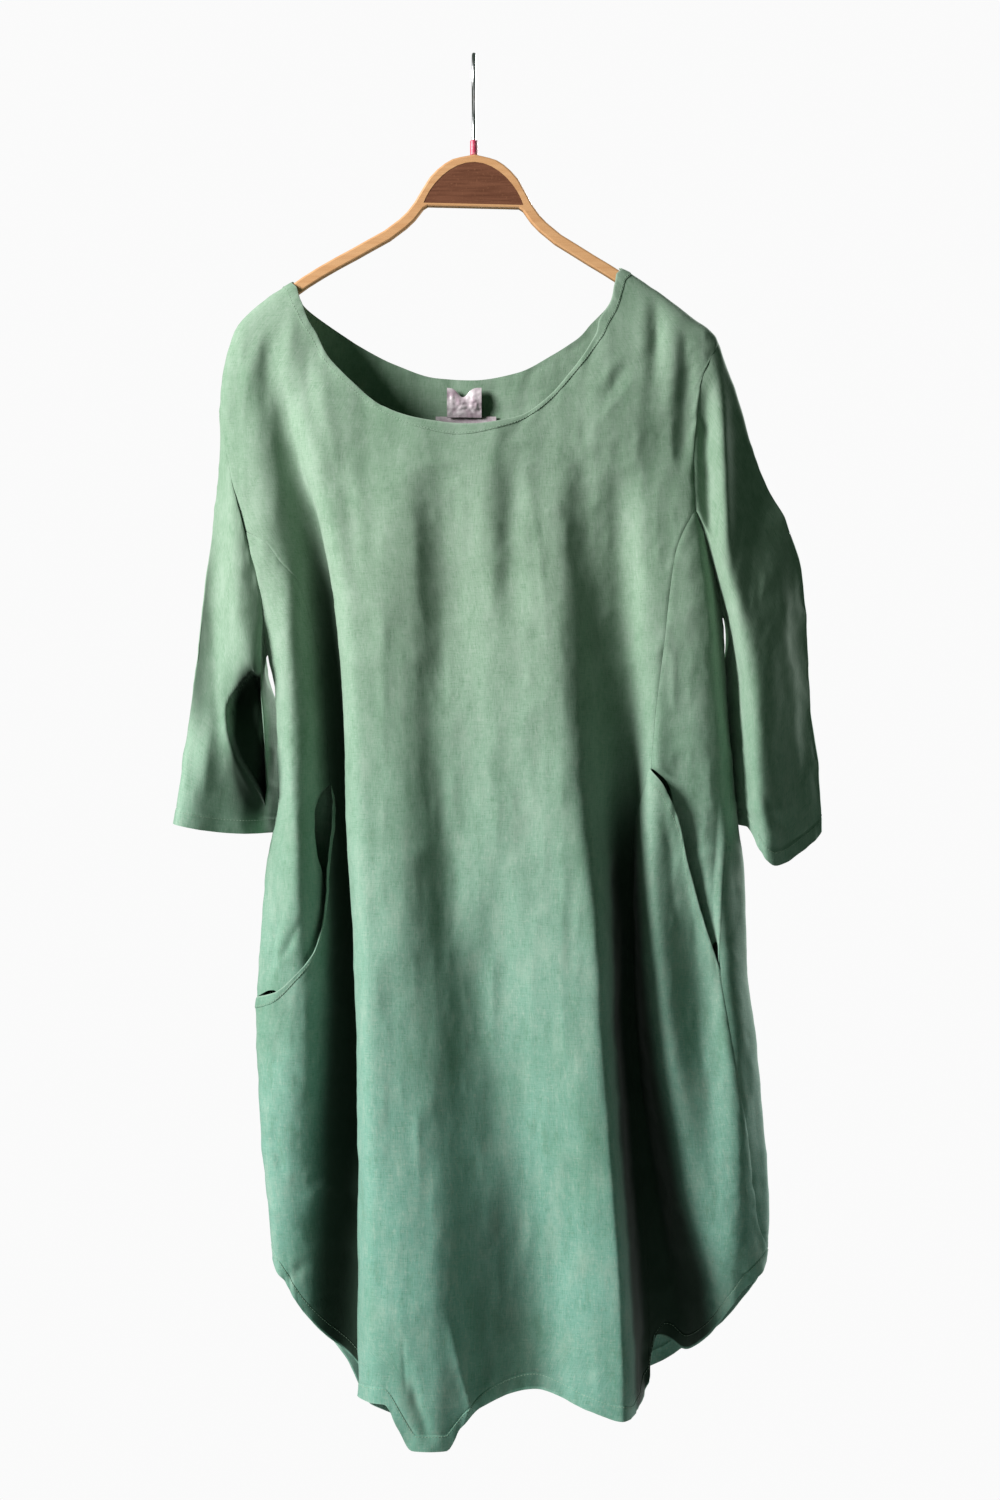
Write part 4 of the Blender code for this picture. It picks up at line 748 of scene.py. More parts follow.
class Tree:
    # Nodes: each call of node() adds one, sets it up and returns an output, and an end is the node they lead to
    def __init__(self, tree, end):
        self.tree, self.end = tree, tree.nodes[end]

    def set(self, socket, value):
        self.give(self.end, socket, value)

    def give(self, made, socket, value):
        if isinstance(value, Value):
            self.tree.links.new(value.socket, made.inputs[socket])
        else:
            made.inputs[socket].default_value = value

    def node(self, kind, settings, inputs, output=0):
        made = self.tree.nodes.new(kind)
        for setting, value in settings.items():
            setattr(made, setting, value)
        for socket, value in inputs.items():
            self.give(made, socket, value)
        return Value(self, made.outputs[output])


class Paint(Tree):
    # A material: constants go on its shader's sockets
    def __init__(self, name, colour, **constants):
        self.material = bpy.data.materials.new(name)
        self.material.use_nodes = True
        super().__init__(self.material.node_tree, "Principled BSDF")
        self.material.diffuse_color = (*colour, 1)
        self.set("Base Color", (*colour, 1))
        for socket, value in constants.items():
            self.set(socket.replace("_", " "), value)

    def place(self, which):
        return self.node("ShaderNodeTexCoord", {}, {}, which)

    def noise(self, scale, detail, roughness, which="Object", turn=(0, 0, 0)):
        # Noise laid by the object's coordinates or its UV, scaled and turned
        where = self.node("ShaderNodeMapping", {}, {"Vector": self.place(which), "Scale": scale, "Rotation": turn})
        return self.node("ShaderNodeTexNoise", {}, {
            "Vector": where, "Scale": 1.0, "Detail": detail, "Roughness": roughness,
        }, "Fac")

    def fade(self, value, low, high, to=(0.0, 1.0)):
        return self.node("ShaderNodeMapRange", {"interpolation_type": "SMOOTHSTEP"}, {
            "Value": value, "From Min": low, "From Max": high, "To Min": to[0], "To Max": to[1],
        }, "Result")

    def mix(self, factor, one, other):
        return self.node("ShaderNodeMix", {"data_type": "RGBA"}, {
            "Factor": factor, "A": one if isinstance(one, Value) else (*one, 1),
            "B": other if isinstance(other, Value) else (*other, 1),
        }, 2)

    def layers(self, base, rows):
        # Colours over a base: each pattern, the values it fades in between, its share and its colour
        for pattern, start, end, share, colour in rows:
            base = self.mix(self.fade(pattern, start, end) * share, base, colour)
        self.set("Base Color", base)

    def bump(self, height, distance, strength):
        self.set("Normal", self.node("ShaderNodeBump", {}, {
            "Height": height, "Distance": distance, "Strength": strength,
        }, "Normal"))


dye = {
    "sage": (0.250, 0.372, 0.262),
    "pale": (0.400, 0.500, 0.410),
    "deep": (0.062, 0.165, 0.080),
    "teal": (0.150, 0.348, 0.272),
    "paintedShade": (0.009, 0.024, 0.012),
}


weave = {
    "threads": (1300, 90, 1),
    "slubs": (520, 26, 1),
    "clouds": (7, 7, 4.5),
    "wear": (55, 55, 24),
    "flecks": (420, 420, 260),
    "deeperFrom": -0.45,  # metres below the hook: from here down to the next the colour turns darker and bluer
    "deeperTo": -1.15,
}


def linenPaint(name):
    # Washed linen: uneven threads both ways from noise drawn out along each, cloudy wear, a colour that turns darker
    # and bluer lower down, paler worn edges, and painted shade in folds and hollows
    paint = Paint(name, dye["sage"], Roughness=0.82, Sheen_Weight=0.18, Sheen_Roughness=0.45, Specular_IOR_Level=0.25)

    def bothWays(size, share):
        long, short, flat = size
        across = paint.noise((short, long, flat), 2.0, 0.6, "UV")
        return paint.noise(size, 2.0, 0.6, "UV") * share + across * (1 - share)

    thread, slub = bothWays(weave["threads"], 0.55), bothWays(weave["slubs"], 0.6)
    cloudy = paint.noise(weave["clouds"], 4.0, 0.6)
    worn = paint.noise(weave["wear"], 5.0, 0.7)
    fleck = paint.noise(weave["flecks"], 3.0, 0.7)
    height = paint.node("ShaderNodeSeparateXYZ", {}, {"Vector": paint.place("Object")}, "Z")
    wearAndShade = paint.node("ShaderNodeAttribute", {"attribute_name": "wearAndShade"}, {}, "Fac")
    paint.layers(dye["sage"], [(*row, dye[colour]) for *row, colour in (
        (height, weave["deeperFrom"], weave["deeperTo"], 1.0, "teal"),
        (thread, 0.4, 0.64, 0.2, "pale"),
        (slub, 0.52, 0.68, 0.3, "pale"),
        (fleck, 0.5, 0.72, 0.35, "pale"),
        (thread, 0.48, 0.36, 0.35, "deep"),
        (cloudy, 0.42, 0.68, 0.3, "deep"),
        (worn, 0.46, 0.72, 0.3, "pale"),
        (worn, 0.46, 0.3, 0.25, "deep"),
        # Above 0 the tone pales worn edges; below 0 it is painted shade, darkening the colour to near black in folds
        # and hollows
        (wearAndShade, 0.0, 1.0, 0.5, "pale"),
        (wearAndShade, 0.0, -1.0, 0.97, "paintedShade"),
    )])
    paint.bump(thread * 0.7 + slub * 0.4 + worn * 0.6, 0.0005, 0.5)
    return paint.material


linen, linenBand = linenPaint("linen"), linenPaint("linen_band")


# Distances from an edge at which its rows lie, and how far the piece's own rows keep from the last of them
hemSteps = (0, 0.7, 3, 6, 9, 12, 13.6, 14.4, 15, 15.6, 16.5, 19, 23, 28, 34)
bandSteps = (0, 0.6, 2.5, 5, 7.5, 9.4, 10.4, 11, 12, 14, 17, 21, 26, 32)
clearRows = 3
# More rows on the way to the piece's own, at these shares of each column's way
inBetween = (0.06, 0.13, 0.21, 0.3, 0.4, 0.5, 0.6, 0.7, 0.8, 0.9)


def rowsByDistance(grid, distances, end):
    # Swaps the rows near one end of a piece for rows that lie at the given distances from it along the cloth
    if end == "top":
        return rowsByDistance(grid[::-1], distances, "bottom")[::-1]
    points = body(grid[..., 0], grid[..., 1])
    away = nearEdge(points, "bottom")
    last = int(np.max(np.nonzero(np.min(away, axis=1) > distances[-1] + clearRows)[0]))
    tail, reach = grid[last:][::-1], away[last:][::-1]
    distances = np.asarray(distances, float)[:, None] + 0 * away[:1]
    shares = np.array(inBetween)[:, None]
    distances = np.concatenate([distances, distances[-1:] + shares * (away[last] - distances[-1])])
    at = np.sum(reach[None, 1:] <= distances[:, None], axis=1)
    at = np.minimum(at, len(reach) - 2)
    low, high = np.take_along_axis(reach, at, 0), np.take_along_axis(reach, at + 1, 0)
    t = ((distances - low) / (high - low))[..., None]
    near = np.take_along_axis(tail, at[..., None], 0)
    far = np.take_along_axis(tail, at[..., None] + 1, 0)
    rows = near + (far - near) * t
    return np.concatenate([grid[: last + 1], rows[::-1]])


def edgeLine(points, side):
    return {"top": points[:1], "bottom": points[-1:], "left": points[:, :1], "right": points[:, -1:]}[side]


sewing = {
    # how high, how far from the edge and how wide: a groove where the stitching draws in, a ridge over what is turned
    "seamForms": ((-0.3, 0, 1.3), (0.15, 5, 4)),
    "hemForms": ((-0.45, cloth["hemWidth"], 1.4),),
    # puckers: from one to the next, height, how far they reach, seed, how far from the edge they begin
    "seamPuckers": ((11, 0.7, 13, 21, 0),),
    "hemPuckers": ((9, 0.9, 16, 31, 0), (24, 1.4, 30, 32, 0)),
    "neckPuckers": ((7, 0.6, 12, 41, 0), (19, 1.0, 26, 42, 8)),
    "facing": 0.3,  # creases fade out where the cloth faces the front or the back less than this
    "wornReach": 1.5,
    "wornTone": 0.35,
    "foldedOver": 1.2,  # how wide the step at the inner edge of a hem is
    "barHeight": -215,  # from here down over this length the cloth leaves the hanger
    "barFade": 70,
}


def sewn(points, side, kind):
    # Bells that run along an edge, and small waves that run square to it and die away from it
    away = nearEdge(points, side)
    total = 0 * away
    for height, distance, width in sewing.get(kind + "Forms", ()):
        total += height * np.exp(-(((away - distance) / width) ** 2))
    for pitch, height, reach, seed, start in sewing[kind + "Puckers"]:
        waves = height * cloud(edgeLine(points, side), (pitch,) * 3, seed) * np.exp(-away / reach)
        total += waves * ramp(away / start) if start else waves
    return total


def hemThickness(points, side):
    away = nearEdge(points, side)
    folded = ramp((cloth["hemWidth"] - away) / sewing["foldedOver"] + 0.5)
    return cloth["thickness"] + (cloth["hemThickness"] - cloth["thickness"]) * folded


def overBar(height):
    # The cloth keeps its CAD place where it lies over the hanger
    return ramp((sewing["barHeight"] - height) / sewing["barFade"])


def sewSheet(piece, node, slotName, flat, area):
    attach(piece, "root")
    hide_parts(node)


def panel(node, fine, seamSides, options):
    # A cut piece of the body: its grid, pushed out where told, then waved, creased and sewn. A piece whose top isn't
    # a seam has a band there and a hem at its bottom.
    grid = fineGrid(node, fine)
    edged = "top" not in seamSides
    if edged:
        grid = rowsByDistance(rowsByDistance(grid, hemSteps, "bottom"), bandSteps, "top")
    place, height = grid[..., 0], grid[..., 1]
    outwards = bodyNormals(place, height)
    push = options["push"](grid, fine) if "push" in options else np.zeros(grid.shape[:2])
    base = body(place, height) + outwards * push[..., None]

    def normalsOf(points):
        normals = gridNormals(points, outwards)
        for side in seamSides:
            turnedTo(normals, side)[0] = turnedTo(outwards, side)[0]
        return normals

    facing = np.cos(place * math.pi / 2)
    onFront, onBack = ramp(facing / sewing["facing"]), ramp(-facing / sewing["facing"])
    out = undulation(base) * overBar(height)
    out += creased(frontCreases, base) * onFront + creased(backCreases, base) * onBack
    for side in seamSides:
        out += sewn(base, side, "seam")
    thickness = cloth["thickness"]
    # Painted shade: the colour is darkened in the deep folds and along the front's listed shade lines
    wearAndShade = creased(frontPaintedShade, base) * onFront - foldShade(place, height)
    if edged:
        out += sewn(base, "bottom", "hem") + sewn(base, "top", "neck")
        thickness = hemThickness(base, "bottom")
        worn = np.exp(-((nearEdge(base, "bottom") / sewing["wornReach"]) ** 2))
        wearAndShade = wearAndShade * (1 - worn) + sewing["wornTone"] * worn
    points = base + normalsOf(base) * out[..., None]
    for side in seamSides:
        turned = turnedTo(points, side)
        turned[0] += unit(turned[1] - turned[0]) * cloth["seamGap"]
    normals = normalsOf(points)
    piece = shell(node + "_cloth", points, normals, thickness, flatPlaces(points), linen, wearAndShade=wearAndShade)
    sewSheet(piece, node, options["slot"], options["flat"], options["area"])
    return {"points": points, "normals": normals}


def pocketPush(gape):
    def push(grid, fine):
        # The outer layer stands out most at the middle of its mouth
        across = np.linspace(0, 1, grid.shape[1])[None]
        points = body(grid[..., 0], grid[..., 1])
        below = np.linalg.norm(points - points[:1], axis=-1)
        opened = gape * np.sin(np.pi * across ** pocketShape["gapeWhere"])
        return opened * np.exp(-((below / pocketShape["fade"]) ** 2))
    return push


def tuckPush(grid, fine):
    # The upper side front is tucked in behind the pocket, and nowhere along its seams
    across = np.linspace(0, 1, grid.shape[1])[None]
    row = np.arange(grid.shape[0])[:, None] / fine
    free = np.where(row <= steps["princess"], ramp(across / pocketShape["freeOfSeam"]), 1)
    free = free * ramp((1 - across) / pocketShape["freeOfSide"])
    return -pocketShape["tuck"] * free * ramp((row - steps["princess"] - pocketShape["tuckFrom"]) / 3)


pocketShape = {
    "gapeLeft": 2.0,
    "gapeRight": 9.0,
    "gapeWhere": 0.62,  # under 1 a mouth gapes most towards its inner end, and over 1 towards its outer end
    "fade": 50.0,  # how far below the mouth
    "tuck": 4.0,
    "tuckFrom": -2,  # in coarse rows from the lower end of the princess seam, and full three rows further down
    "freeOfSeam": 0.2,
    "freeOfSide": 0.25,
}

bothSides = ("left", "right")
front = panel("front_panel", 6, bothSides, {"slot": "linen", "flat": (0.46, 1.12), "area": 0.40})
back = panel("back_panel", 6, bothSides, {"slot": "linen", "flat": (0.62, 1.10), "area": 0.49})
pockets = {}
for side, gape, area in (("left", "gapeLeft", 0.048), ("right", "gapeRight", 0.072)):
    pockets[side] = panel("pocket_front_" + side, 9, bothSides, {
        "slot": "linen_skirt", "flat": (0.23, 0.46), "area": area, "push": pocketPush(pocketShape[gape]),
    })
for side, area in (("left", 0.0325), ("right", 0.0285)):
    panel("side_front_" + side, 10, ("top", *bothSides), {
        "slot": "linen", "flat": (0.12, 0.46), "area": area, "push": tuckPush,
    })
print("panels made")

# Sleeves: the outer and inner lines of the tube, and how far its front and back stand from them
sleeveLines = {
    "Left": (
        # along, outer x, outer height, inner x, inner height, front, back
        (0.00, -241, -335, -194.5, -566, 20, 18),
        (0.12, -243, -392, -198, -590, 23, 20),
        (0.25, -248, -440, -199.5, -612, 26, 22),
        (0.38, -253, -482, -198.5, -634, 29, 24),
        (0.50, -258, -525, -197.5, -655, 31, 26),
        (0.62, -264, -574, -196.5, -676, 33, 28),
        (0.75, -270, -628, -195.5, -697, 34, 29),
        (0.88, -276, -680, -196.5, -717, 34, 30),
        (1.00, -282, -727, -198, -736, 33, 30),
    ),
    "Right": (
        (0.00, 235, -268, 237, -530, 22, 18),
        (0.12, 255, -335, 243.5, -556, 38, 21),
        (0.25, 275, -396, 248, -582, 49, 23),
        (0.38, 299, -447, 250.5, -606, 52, 25),
        (0.50, 313, -490, 252, -630, 52, 27),
        (0.62, 317.5, -550, 253.5, -654, 51, 28),
        (0.75, 320, -612, 255, -677, 49, 29),
        (0.88, 328, -668, 257, -700, 45, 30),
        (1.00, 331, -732, 260, -724, 38, 30),
    ),
}
sleeveShape = {
    # shares of the sleeve's length: where the armhole's shape has given way to the tube, where folds are full, where
    # the tuck behind the body begins and over what length, and where the cuff's drop begins
    "blend": 0.45,
    "foldsFrom": 0.3,
    "tuckFrom": 0.06,
    "tuckOver": 0.26,
    "dropFrom": 0.55,
    "dropPower": 1.8,
    "settle": 7,  # how far from the armhole the sleeve still faces the way the body does
    "facing": 0.3,
    "steps": 13,
    "fine": 8,
    "cuff": (0, 0.7, 3, 6, 9, 11.4, 12.4, 13.2, 14.5, 17, 21, 26),
    "length": {"Left": 330.0, "Right": 390.0},
    # folds: angle round the tube (0 outer, 90 front, 180 inner), along it, reach in degrees, reach along, depth
    "folds": {
        "Left": ((62.0, 0.62, 26.0, 0.5, -4.0),),
        "Right": (),
    },
    # along the sleeve, crest: above 1 the front stands out most near the inner line
    "crest": {
        "Left": ((0.0, 1.5), (0.5, 2.4), (0.72, 1.0), (0.86, 0.5), (1.0, 0.45)),
        "Right": ((0.0, 1.3), (0.3, 1.9), (1.0, 2.0)),
    },
    # how far the inner line is tucked behind the side of the body: inwards, backwards, reach in degrees each way
    "tuck": {"Left": (15.0, 22.0, 7.0, 32.0), "Right": (-15.0, 24.0, 7.0, 32.0)},
    # how much lower the cuff hangs at its front than at its sides: angle, outer and inner reach in degrees, drop
    "cuffDrop": {"Left": (90.0, 60.0, 60.0, 4.0), "Right": (112.0, 68.0, 42.0, 40.0)},
}


def sleevePoint(side, angle, along):
    # A tube between its outer and inner lines: x and height by the cosine of the angle, y by its sine
    shares, *columns = zip(*sleeveLines[side])
    *lines, frontOut, backOut = (smooth(shares, column, along) for column in columns)
    outer, inner = np.stack(lines[:2], -1), np.stack(lines[2:], -1)
    turn = np.radians(angle)
    spot = (outer + inner) / 2 + (outer - inner) / 2 * np.cos(turn)[..., None]
    inward = np.zeros(spot.shape[:-1])
    for foldAngle, foldAlong, reach, reachAlong, depth in sleeveShape["folds"][side]:
        inward += depth * np.exp(-(((angle - foldAngle) / reach) ** 2) - ((along - foldAlong) / reachAlong) ** 2)
    lean = smooth(*zip(*sleeveShape["crest"][side]), along)
    crest = np.where(np.sin(turn) > 0, np.sin(np.pi * (np.clip(angle, 0, 180) / 180) ** lean), np.sin(turn))
    y = (inward * ramp(along / sleeveShape["foldsFrom"]) - np.where(np.sin(turn) > 0, frontOut, backOut)) * crest
    aside, behind, frontReach, backReach = sleeveShape["tuck"][side]
    tucked = np.exp(-(((angle - 180) / np.where(angle < 180, frontReach, backReach)) ** 2))
    tucked = tucked * ramp((along - sleeveShape["tuckFrom"]) / sleeveShape["tuckOver"])
    dropAngle, outerReach, innerReach, drop = sleeveShape["cuffDrop"][side]
    dropReach = np.where(angle < dropAngle, outerReach, innerReach)
    sag = drop * np.exp(-np.abs((angle - dropAngle) / dropReach) ** sleeveShape["dropPower"])
    sag = sag * ramp((along - sleeveShape["dropFrom"]) / (1 - sleeveShape["dropFrom"]))
    return np.stack([spot[..., 0] + aside * tucked, y + behind * tucked, spot[..., 1] - sag], -1)


def sleeve(side):
    fine = sleeveShape["fine"]
    frontLine = chain(seam("armholeUpper" + side, fine), seam("armholeLower" + side, fine))
    backLine = seam("armholeBack" + side, fine)[::-1]
    loop = np.concatenate([frontLine[:-1], backLine[:-1]])
    hole, holeNormals = body(loop[:, 0], loop[:, 1]), bodyNormals(loop[:, 0], loop[:, 1])
    run = runOf(np.concatenate([hole, hole[:1]]))
    underarm = len(frontLine) - 1
    angles = np.where(np.arange(len(loop)) < underarm, 180 * run[:-1] / run[underarm],
                      180 + 180 * (run[:-1] - run[underarm]) / (run[-1] - run[underarm]))
    cuff = 1 - np.array(sleeveShape["cuff"]) / sleeveShape["length"][side]
    along = np.concatenate([np.linspace(0, cuff[-1], sleeveShape["steps"] * fine)[:-1], cuff[::-1]])[:, None]
    turn, along = np.broadcast_arrays(angles[None], along)
    fade = np.clip(1 - along / sleeveShape["blend"], 0, 1)[..., None] ** 2
    start = hole[None] - sleevePoint(side, angles, np.zeros(len(loop)))[None]
    base = sleevePoint(side, turn, along) + start * fade

    def tubeNormals(points):
        down = np.gradient(points, axis=0)
        around = np.roll(points, -1, axis=1) - np.roll(points, 1, axis=1)
        normals = unit(np.cross(down, around))
        outward = np.sum(normals[-1] * (points[-1] - points[-1].mean(axis=0))) > 0
        return normals if outward else -normals

    normals = tubeNormals(base)
    settle = np.exp(-nearEdge(base, "top") / sleeveShape["settle"])[..., None]
    normals = unit(normals * (1 - settle) + holeNormals * settle)
    onFront = ramp(np.sin(np.radians(turn)) / sleeveShape["facing"])
    out = undulation(base) + sewn(base, "top", "seam") + sewn(base, "bottom", "hem")
    points = base + normals * out[..., None]
    points[..., 1] -= creased(sleeveCreases[side], base) * onFront
    if side in sleeveHollow:
        sunk = sleeveHollow[side]
        points[..., 1] -= hollow(base, sunk["outline"], sunk["depth"], sunk["wall"]) * onFront
    points[0] += unit(points[1] - points[0]) * cloth["seamGap"]
    final = tubeNormals(points)
    final = unit(final * (1 - settle) + holeNormals * settle)
    roundCuff = runOf(base[-1])[None]
    uv = np.stack(np.broadcast_arrays(roundCuff, -nearEdge(base, "top").mean(axis=1)[:, None]), -1) * mm
    name = "sleeve_" + side.lower()
    # Painted shade on the sleeve's front along its listed lines
    wearAndShade = creased(sleevePaintedShade[side], base) * onFront
    piece = shell(name + "_cloth", points, final, hemThickness(points, "bottom"), uv, linen, closed=True, wearAndShade=wearAndShade)
    sewSheet(piece, name, "linen", *sleeveFlat[side])
    return {"points": points, "normals": final}


# The sunken place low on the front of the left sleeve: its outline as the front view sees it
sleeveHollow = {
    "Left": {"depth": 26.0, "wall": 3.5, "outline": (
        (262, 674), (251, 671), (240, 684), (229, 700), (225, 716), (229, 738), (236, 758), (251, 782), (266, 806),
        (268, 790), (266, 752), (264, 715), (262, 690),
    )},
}
sleeveCreases = {
    "Left": (
        (7.0, 14, (231, 470), (233, 600), (240, 690)),
        (-3.0, 7, (216, 560), (215, 620), (215, 700), (222, 780)),
        (4.0, 6, "sharp", (224, 690), (226, 730), (236, 764), (262, 810)),
        (-2.0, 6, (200, 640), (196, 720), (190, 800)),
        (1.5, 5, (210, 720), (206, 760), (204, 800)),
    ),
    "Right": (
        (8.0, 8, (714, 345), (722, 420), (726, 520), (732, 600)),
        (-8.0, 8, (704, 370), (705, 430), (708, 500), (716, 580)),
        (1.5, 5, "sharp", (738, 505), (742, 525), (741, 545)),
        (1.5, 6, "sharp", (756, 560), (764, 578), (762, 604)),
        (-1.6, 8, (770, 560), (776, 640), (784, 720)),
        (1.4, 7, (790, 640), (796, 710), (800, 780)),
        (1.6, 6, (748, 780), (764, 820), (782, 846)),
        (-1.4, 5, (762, 790), (778, 822), (798, 842)),
    ),
}
# Painted shade on the front of a sleeve: negative values along lines of the front view, which darken the colour there
sleevePaintedShade = {
    "Left": (
        (-0.7, 14, (206, 480), (201, 590), (198, 690), (206, 790)),
        (-0.55, 20, (234, 730), (244, 780), (250, 850)),
        (-1.8, 13, (252, 640), (244, 735), (262, 830)),
    ),
    "Right": (),
}
sleeveFlat = {"Left": ((0.36, 0.40), 0.0554), "Right": ((0.40, 0.46), 0.0786)}
sleeves = {side: sleeve(side) for side in ("Left", "Right")}
print("sleeves made")


def threaded(points, spots):
    # Where a line at the given distances from the top edge runs on a piece: one point to a column for each distance
    away = nearEdge(points, "top")
    lines = []
    for spot in spots:
        at = np.clip(np.sum(away <= spot, axis=0) - 1, 0, len(away) - 2)[None]
        low, high = np.take_along_axis(away, at, 0), np.take_along_axis(away, at + 1, 0)
        t = ((spot - low) / np.maximum(high - low, 1e-6))[..., None]
        near, far = (np.take_along_axis(points, (at + k)[..., None], 0) for k in (0, 1))
        lines.append((near + (far - near) * t)[0])
    return np.array(lines)


bandShape = {
    "lift": 0.72,  # from the middle of the cloth to the middle of the band
    "thickness": 0.4,
    "rows": (0.2, 1.0, 2.5, 4.2, 6.0, 7.8, 9.2, 10.1, 10.6),
    "stitchFrom": 9.4,
    "width": 10.6,
    "swell": 0.12,
    "drawn": (0.12, 5, 51),  # height, size and seed of the small unevenness between the stitches
    "turned": 0.25,  # how far the band's upper edge is drawn round the cloth's
    "wornReach": 1.2,
}


def band(node, piece, flat, area):
    # The strip turned over the edge: it swells between its edge and its stitching, and draws in at each stitch
    rows = np.asarray(bandShape["rows"])
    middle = threaded(piece["points"], rows)
    outs = threaded(piece["points"] + piece["normals"], rows) - middle
    swell = bandShape["swell"] * np.sin(np.pi * np.clip(rows / bandShape["stitchFrom"], 0, 1))[:, None]
    height, size, seed = bandShape["drawn"]
    drawn = height * cloud(middle[:1], size, seed) * np.sin(np.pi * np.clip(rows / bandShape["width"], 0, 1))[:, None]
    normals = unit(outs)
    points = middle + normals * (bandShape["lift"] + swell + drawn)[..., None]
    points[0] -= normals[0] * bandShape["turned"]
    wearAndShade = np.exp(-((rows / bandShape["wornReach"]) ** 2))[:, None]
    made = shell(node + "_cloth", points, gridNormals(points, normals), bandShape["thickness"], flatPlaces(points),
                 linenBand, wearAndShade=wearAndShade)
    sewSheet(made, node, "linen_band", flat, area)
    return points, normals


bands = {
    "neckband_front": (front, (0.54, 0.011), 0.0042),
    "neckband_back": (back, (0.42, 0.011), 0.0032),
    "pocket_band_left": (pockets["left"], (0.28, 0.011), 0.0015),
    "pocket_band_right": (pockets["right"], (0.26, 0.011), 0.0014),
}
sewnBands = {node: band(node, *rest) for node, rest in bands.items()}
print("bands made")

stitch = {
    "pitch": 3.0,
    "length": 2.1,
    "radius": 0.28,
    "sides": 5,
    "rings": ((-0.36, 0.75), (0.0, 1.0), (0.36, 0.75)),  # along the stitch, share of the radius
    "hemFrom": 13.8,
    "cuffFrom": 12.6,
    "hemLift": 0.9,
}


def stitches(name, lines, normals):
    # Short thread bumps along lines: each is a small spindle of three rings, closed at both ends
    spots, ways, outs = [], [], []
    for line, out in zip(lines, normals):
        run = runOf(line)
        at = np.arange(stitch["pitch"] / 2, run[-1], stitch["pitch"])
        spots.append(sampled(line, run, at))
        ways.append(unit(sampled(line, run, at + 0.5) - sampled(line, run, at - 0.5)))
        outs.append(unit(sampled(out, run, at)))
    spots, ways, outs = (np.concatenate(parts) for parts in (spots, ways, outs))
    sides = stitch["sides"]
    turn = np.linspace(0, 2 * np.pi, sides, endpoint=False)
    aside = unit(np.cross(ways, outs))
    up = np.cross(aside, ways)
    ring = aside[:, None] * np.cos(turn)[None, :, None] + up[:, None] * np.sin(turn)[None, :, None]
    parts = [(spots - ways * stitch["length"] / 2)[:, None]]
    for along, size in stitch["rings"]:
        parts.append((spots + ways * stitch["length"] * along)[:, None] + ring * stitch["radius"] * size)
    parts.append((spots + ways * stitch["length"] / 2)[:, None])
    corners = np.concatenate(parts, axis=1)
    each = corners.shape[1]
    here, there = np.arange(sides), (np.arange(sides) + 1) % sides
    faces = [(0, 1 + int(there[k]), 1 + int(here[k])) for k in range(sides)]
    for level in (0, 1):
        first = 1 + level * sides
        for k in range(sides):
            a, b = first + int(here[k]), first + int(there[k])
            faces += [(a, b, b + sides), (a, b + sides, a + sides)]
    faces += [(each - 1, 1 + 2 * sides + int(here[k]), 1 + 2 * sides + int(there[k])) for k in range(sides)]
    faces = (np.array(faces)[None] + np.arange(len(spots))[:, None, None] * each).reshape(-1, 3)
    mesh = meshOf(name, corners.reshape(-1, 3) * mm, faces)
    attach(link(name, mesh, threadPaint), "root")


threadPaint = Paint("thread", (0.30, 0.42, 0.31), Roughness=0.7, Sheen_Weight=0.2).material


def hemRow(piece, distance):
    # A line on a piece at a distance from its hem, lifted to its outer face
    points, normals = piece["points"][::-1], piece["normals"][::-1]
    line = threaded(points, (distance,))[0]
    out = unit(threaded(points + normals, (distance,))[0] - line)
    return line + out * stitch["hemLift"], out


neckRows, pocketRows, hemRows = [], [], []
for node, (points, normals) in sewnBands.items():
    line = points[6] + normals[6] * (bandShape["thickness"] / 2 + 0.05)
    (pocketRows if "pocket" in node else neckRows).append((line, normals[6]))
for piece in (front, back, *pockets.values()):
    hemRows.append(hemRow(piece, stitch["hemFrom"]))
for piece in sleeves.values():
    line, out = hemRow(piece, stitch["cuffFrom"])
    hemRows.append((np.concatenate([line, line[:1]]), np.concatenate([out, out[:1]])))
for name, rows in (("neck_stitches", neckRows), ("pocket_stitches", pocketRows), ("hem_stitches", hemRows)):
    stitches(name, *zip(*rows))
print("stitches made")

# The two bare labels inside the back of the neck: a crumpled satin loop held at its two top corners, and a flat one
satin = Paint("satin", (0.66, 0.56, 0.60), Roughness=0.34, Sheen_Weight=0.3, Specular_IOR_Level=0.6)
satinRib = satin.noise((60, 60, 1400), 1.5, 0.5)
satinCloud = satin.noise((90, 90, 90), 3.0, 0.6)
satin.layers((0.74, 0.66, 0.69), [(satinCloud, 0.35, 0.7, 1.0, (0.50, 0.38, 0.44))])
satin.bump(satinRib, 0.0002, 0.5)


labelShape = {
    "sagAt": 0.46,
    "sagWidth": 0.2,
    "behind": 0.1,  # how much of the belly the layer behind has
    "fold": 0.25,  # how far up the layer behind has reached its gap
    "crumples": ((1.0, 6, 61), (0.6, 3, 62)),  # share, size, seed
    "held": 0.08,  # how near its ends the crumple fades
    "thickness": 0.3,
}


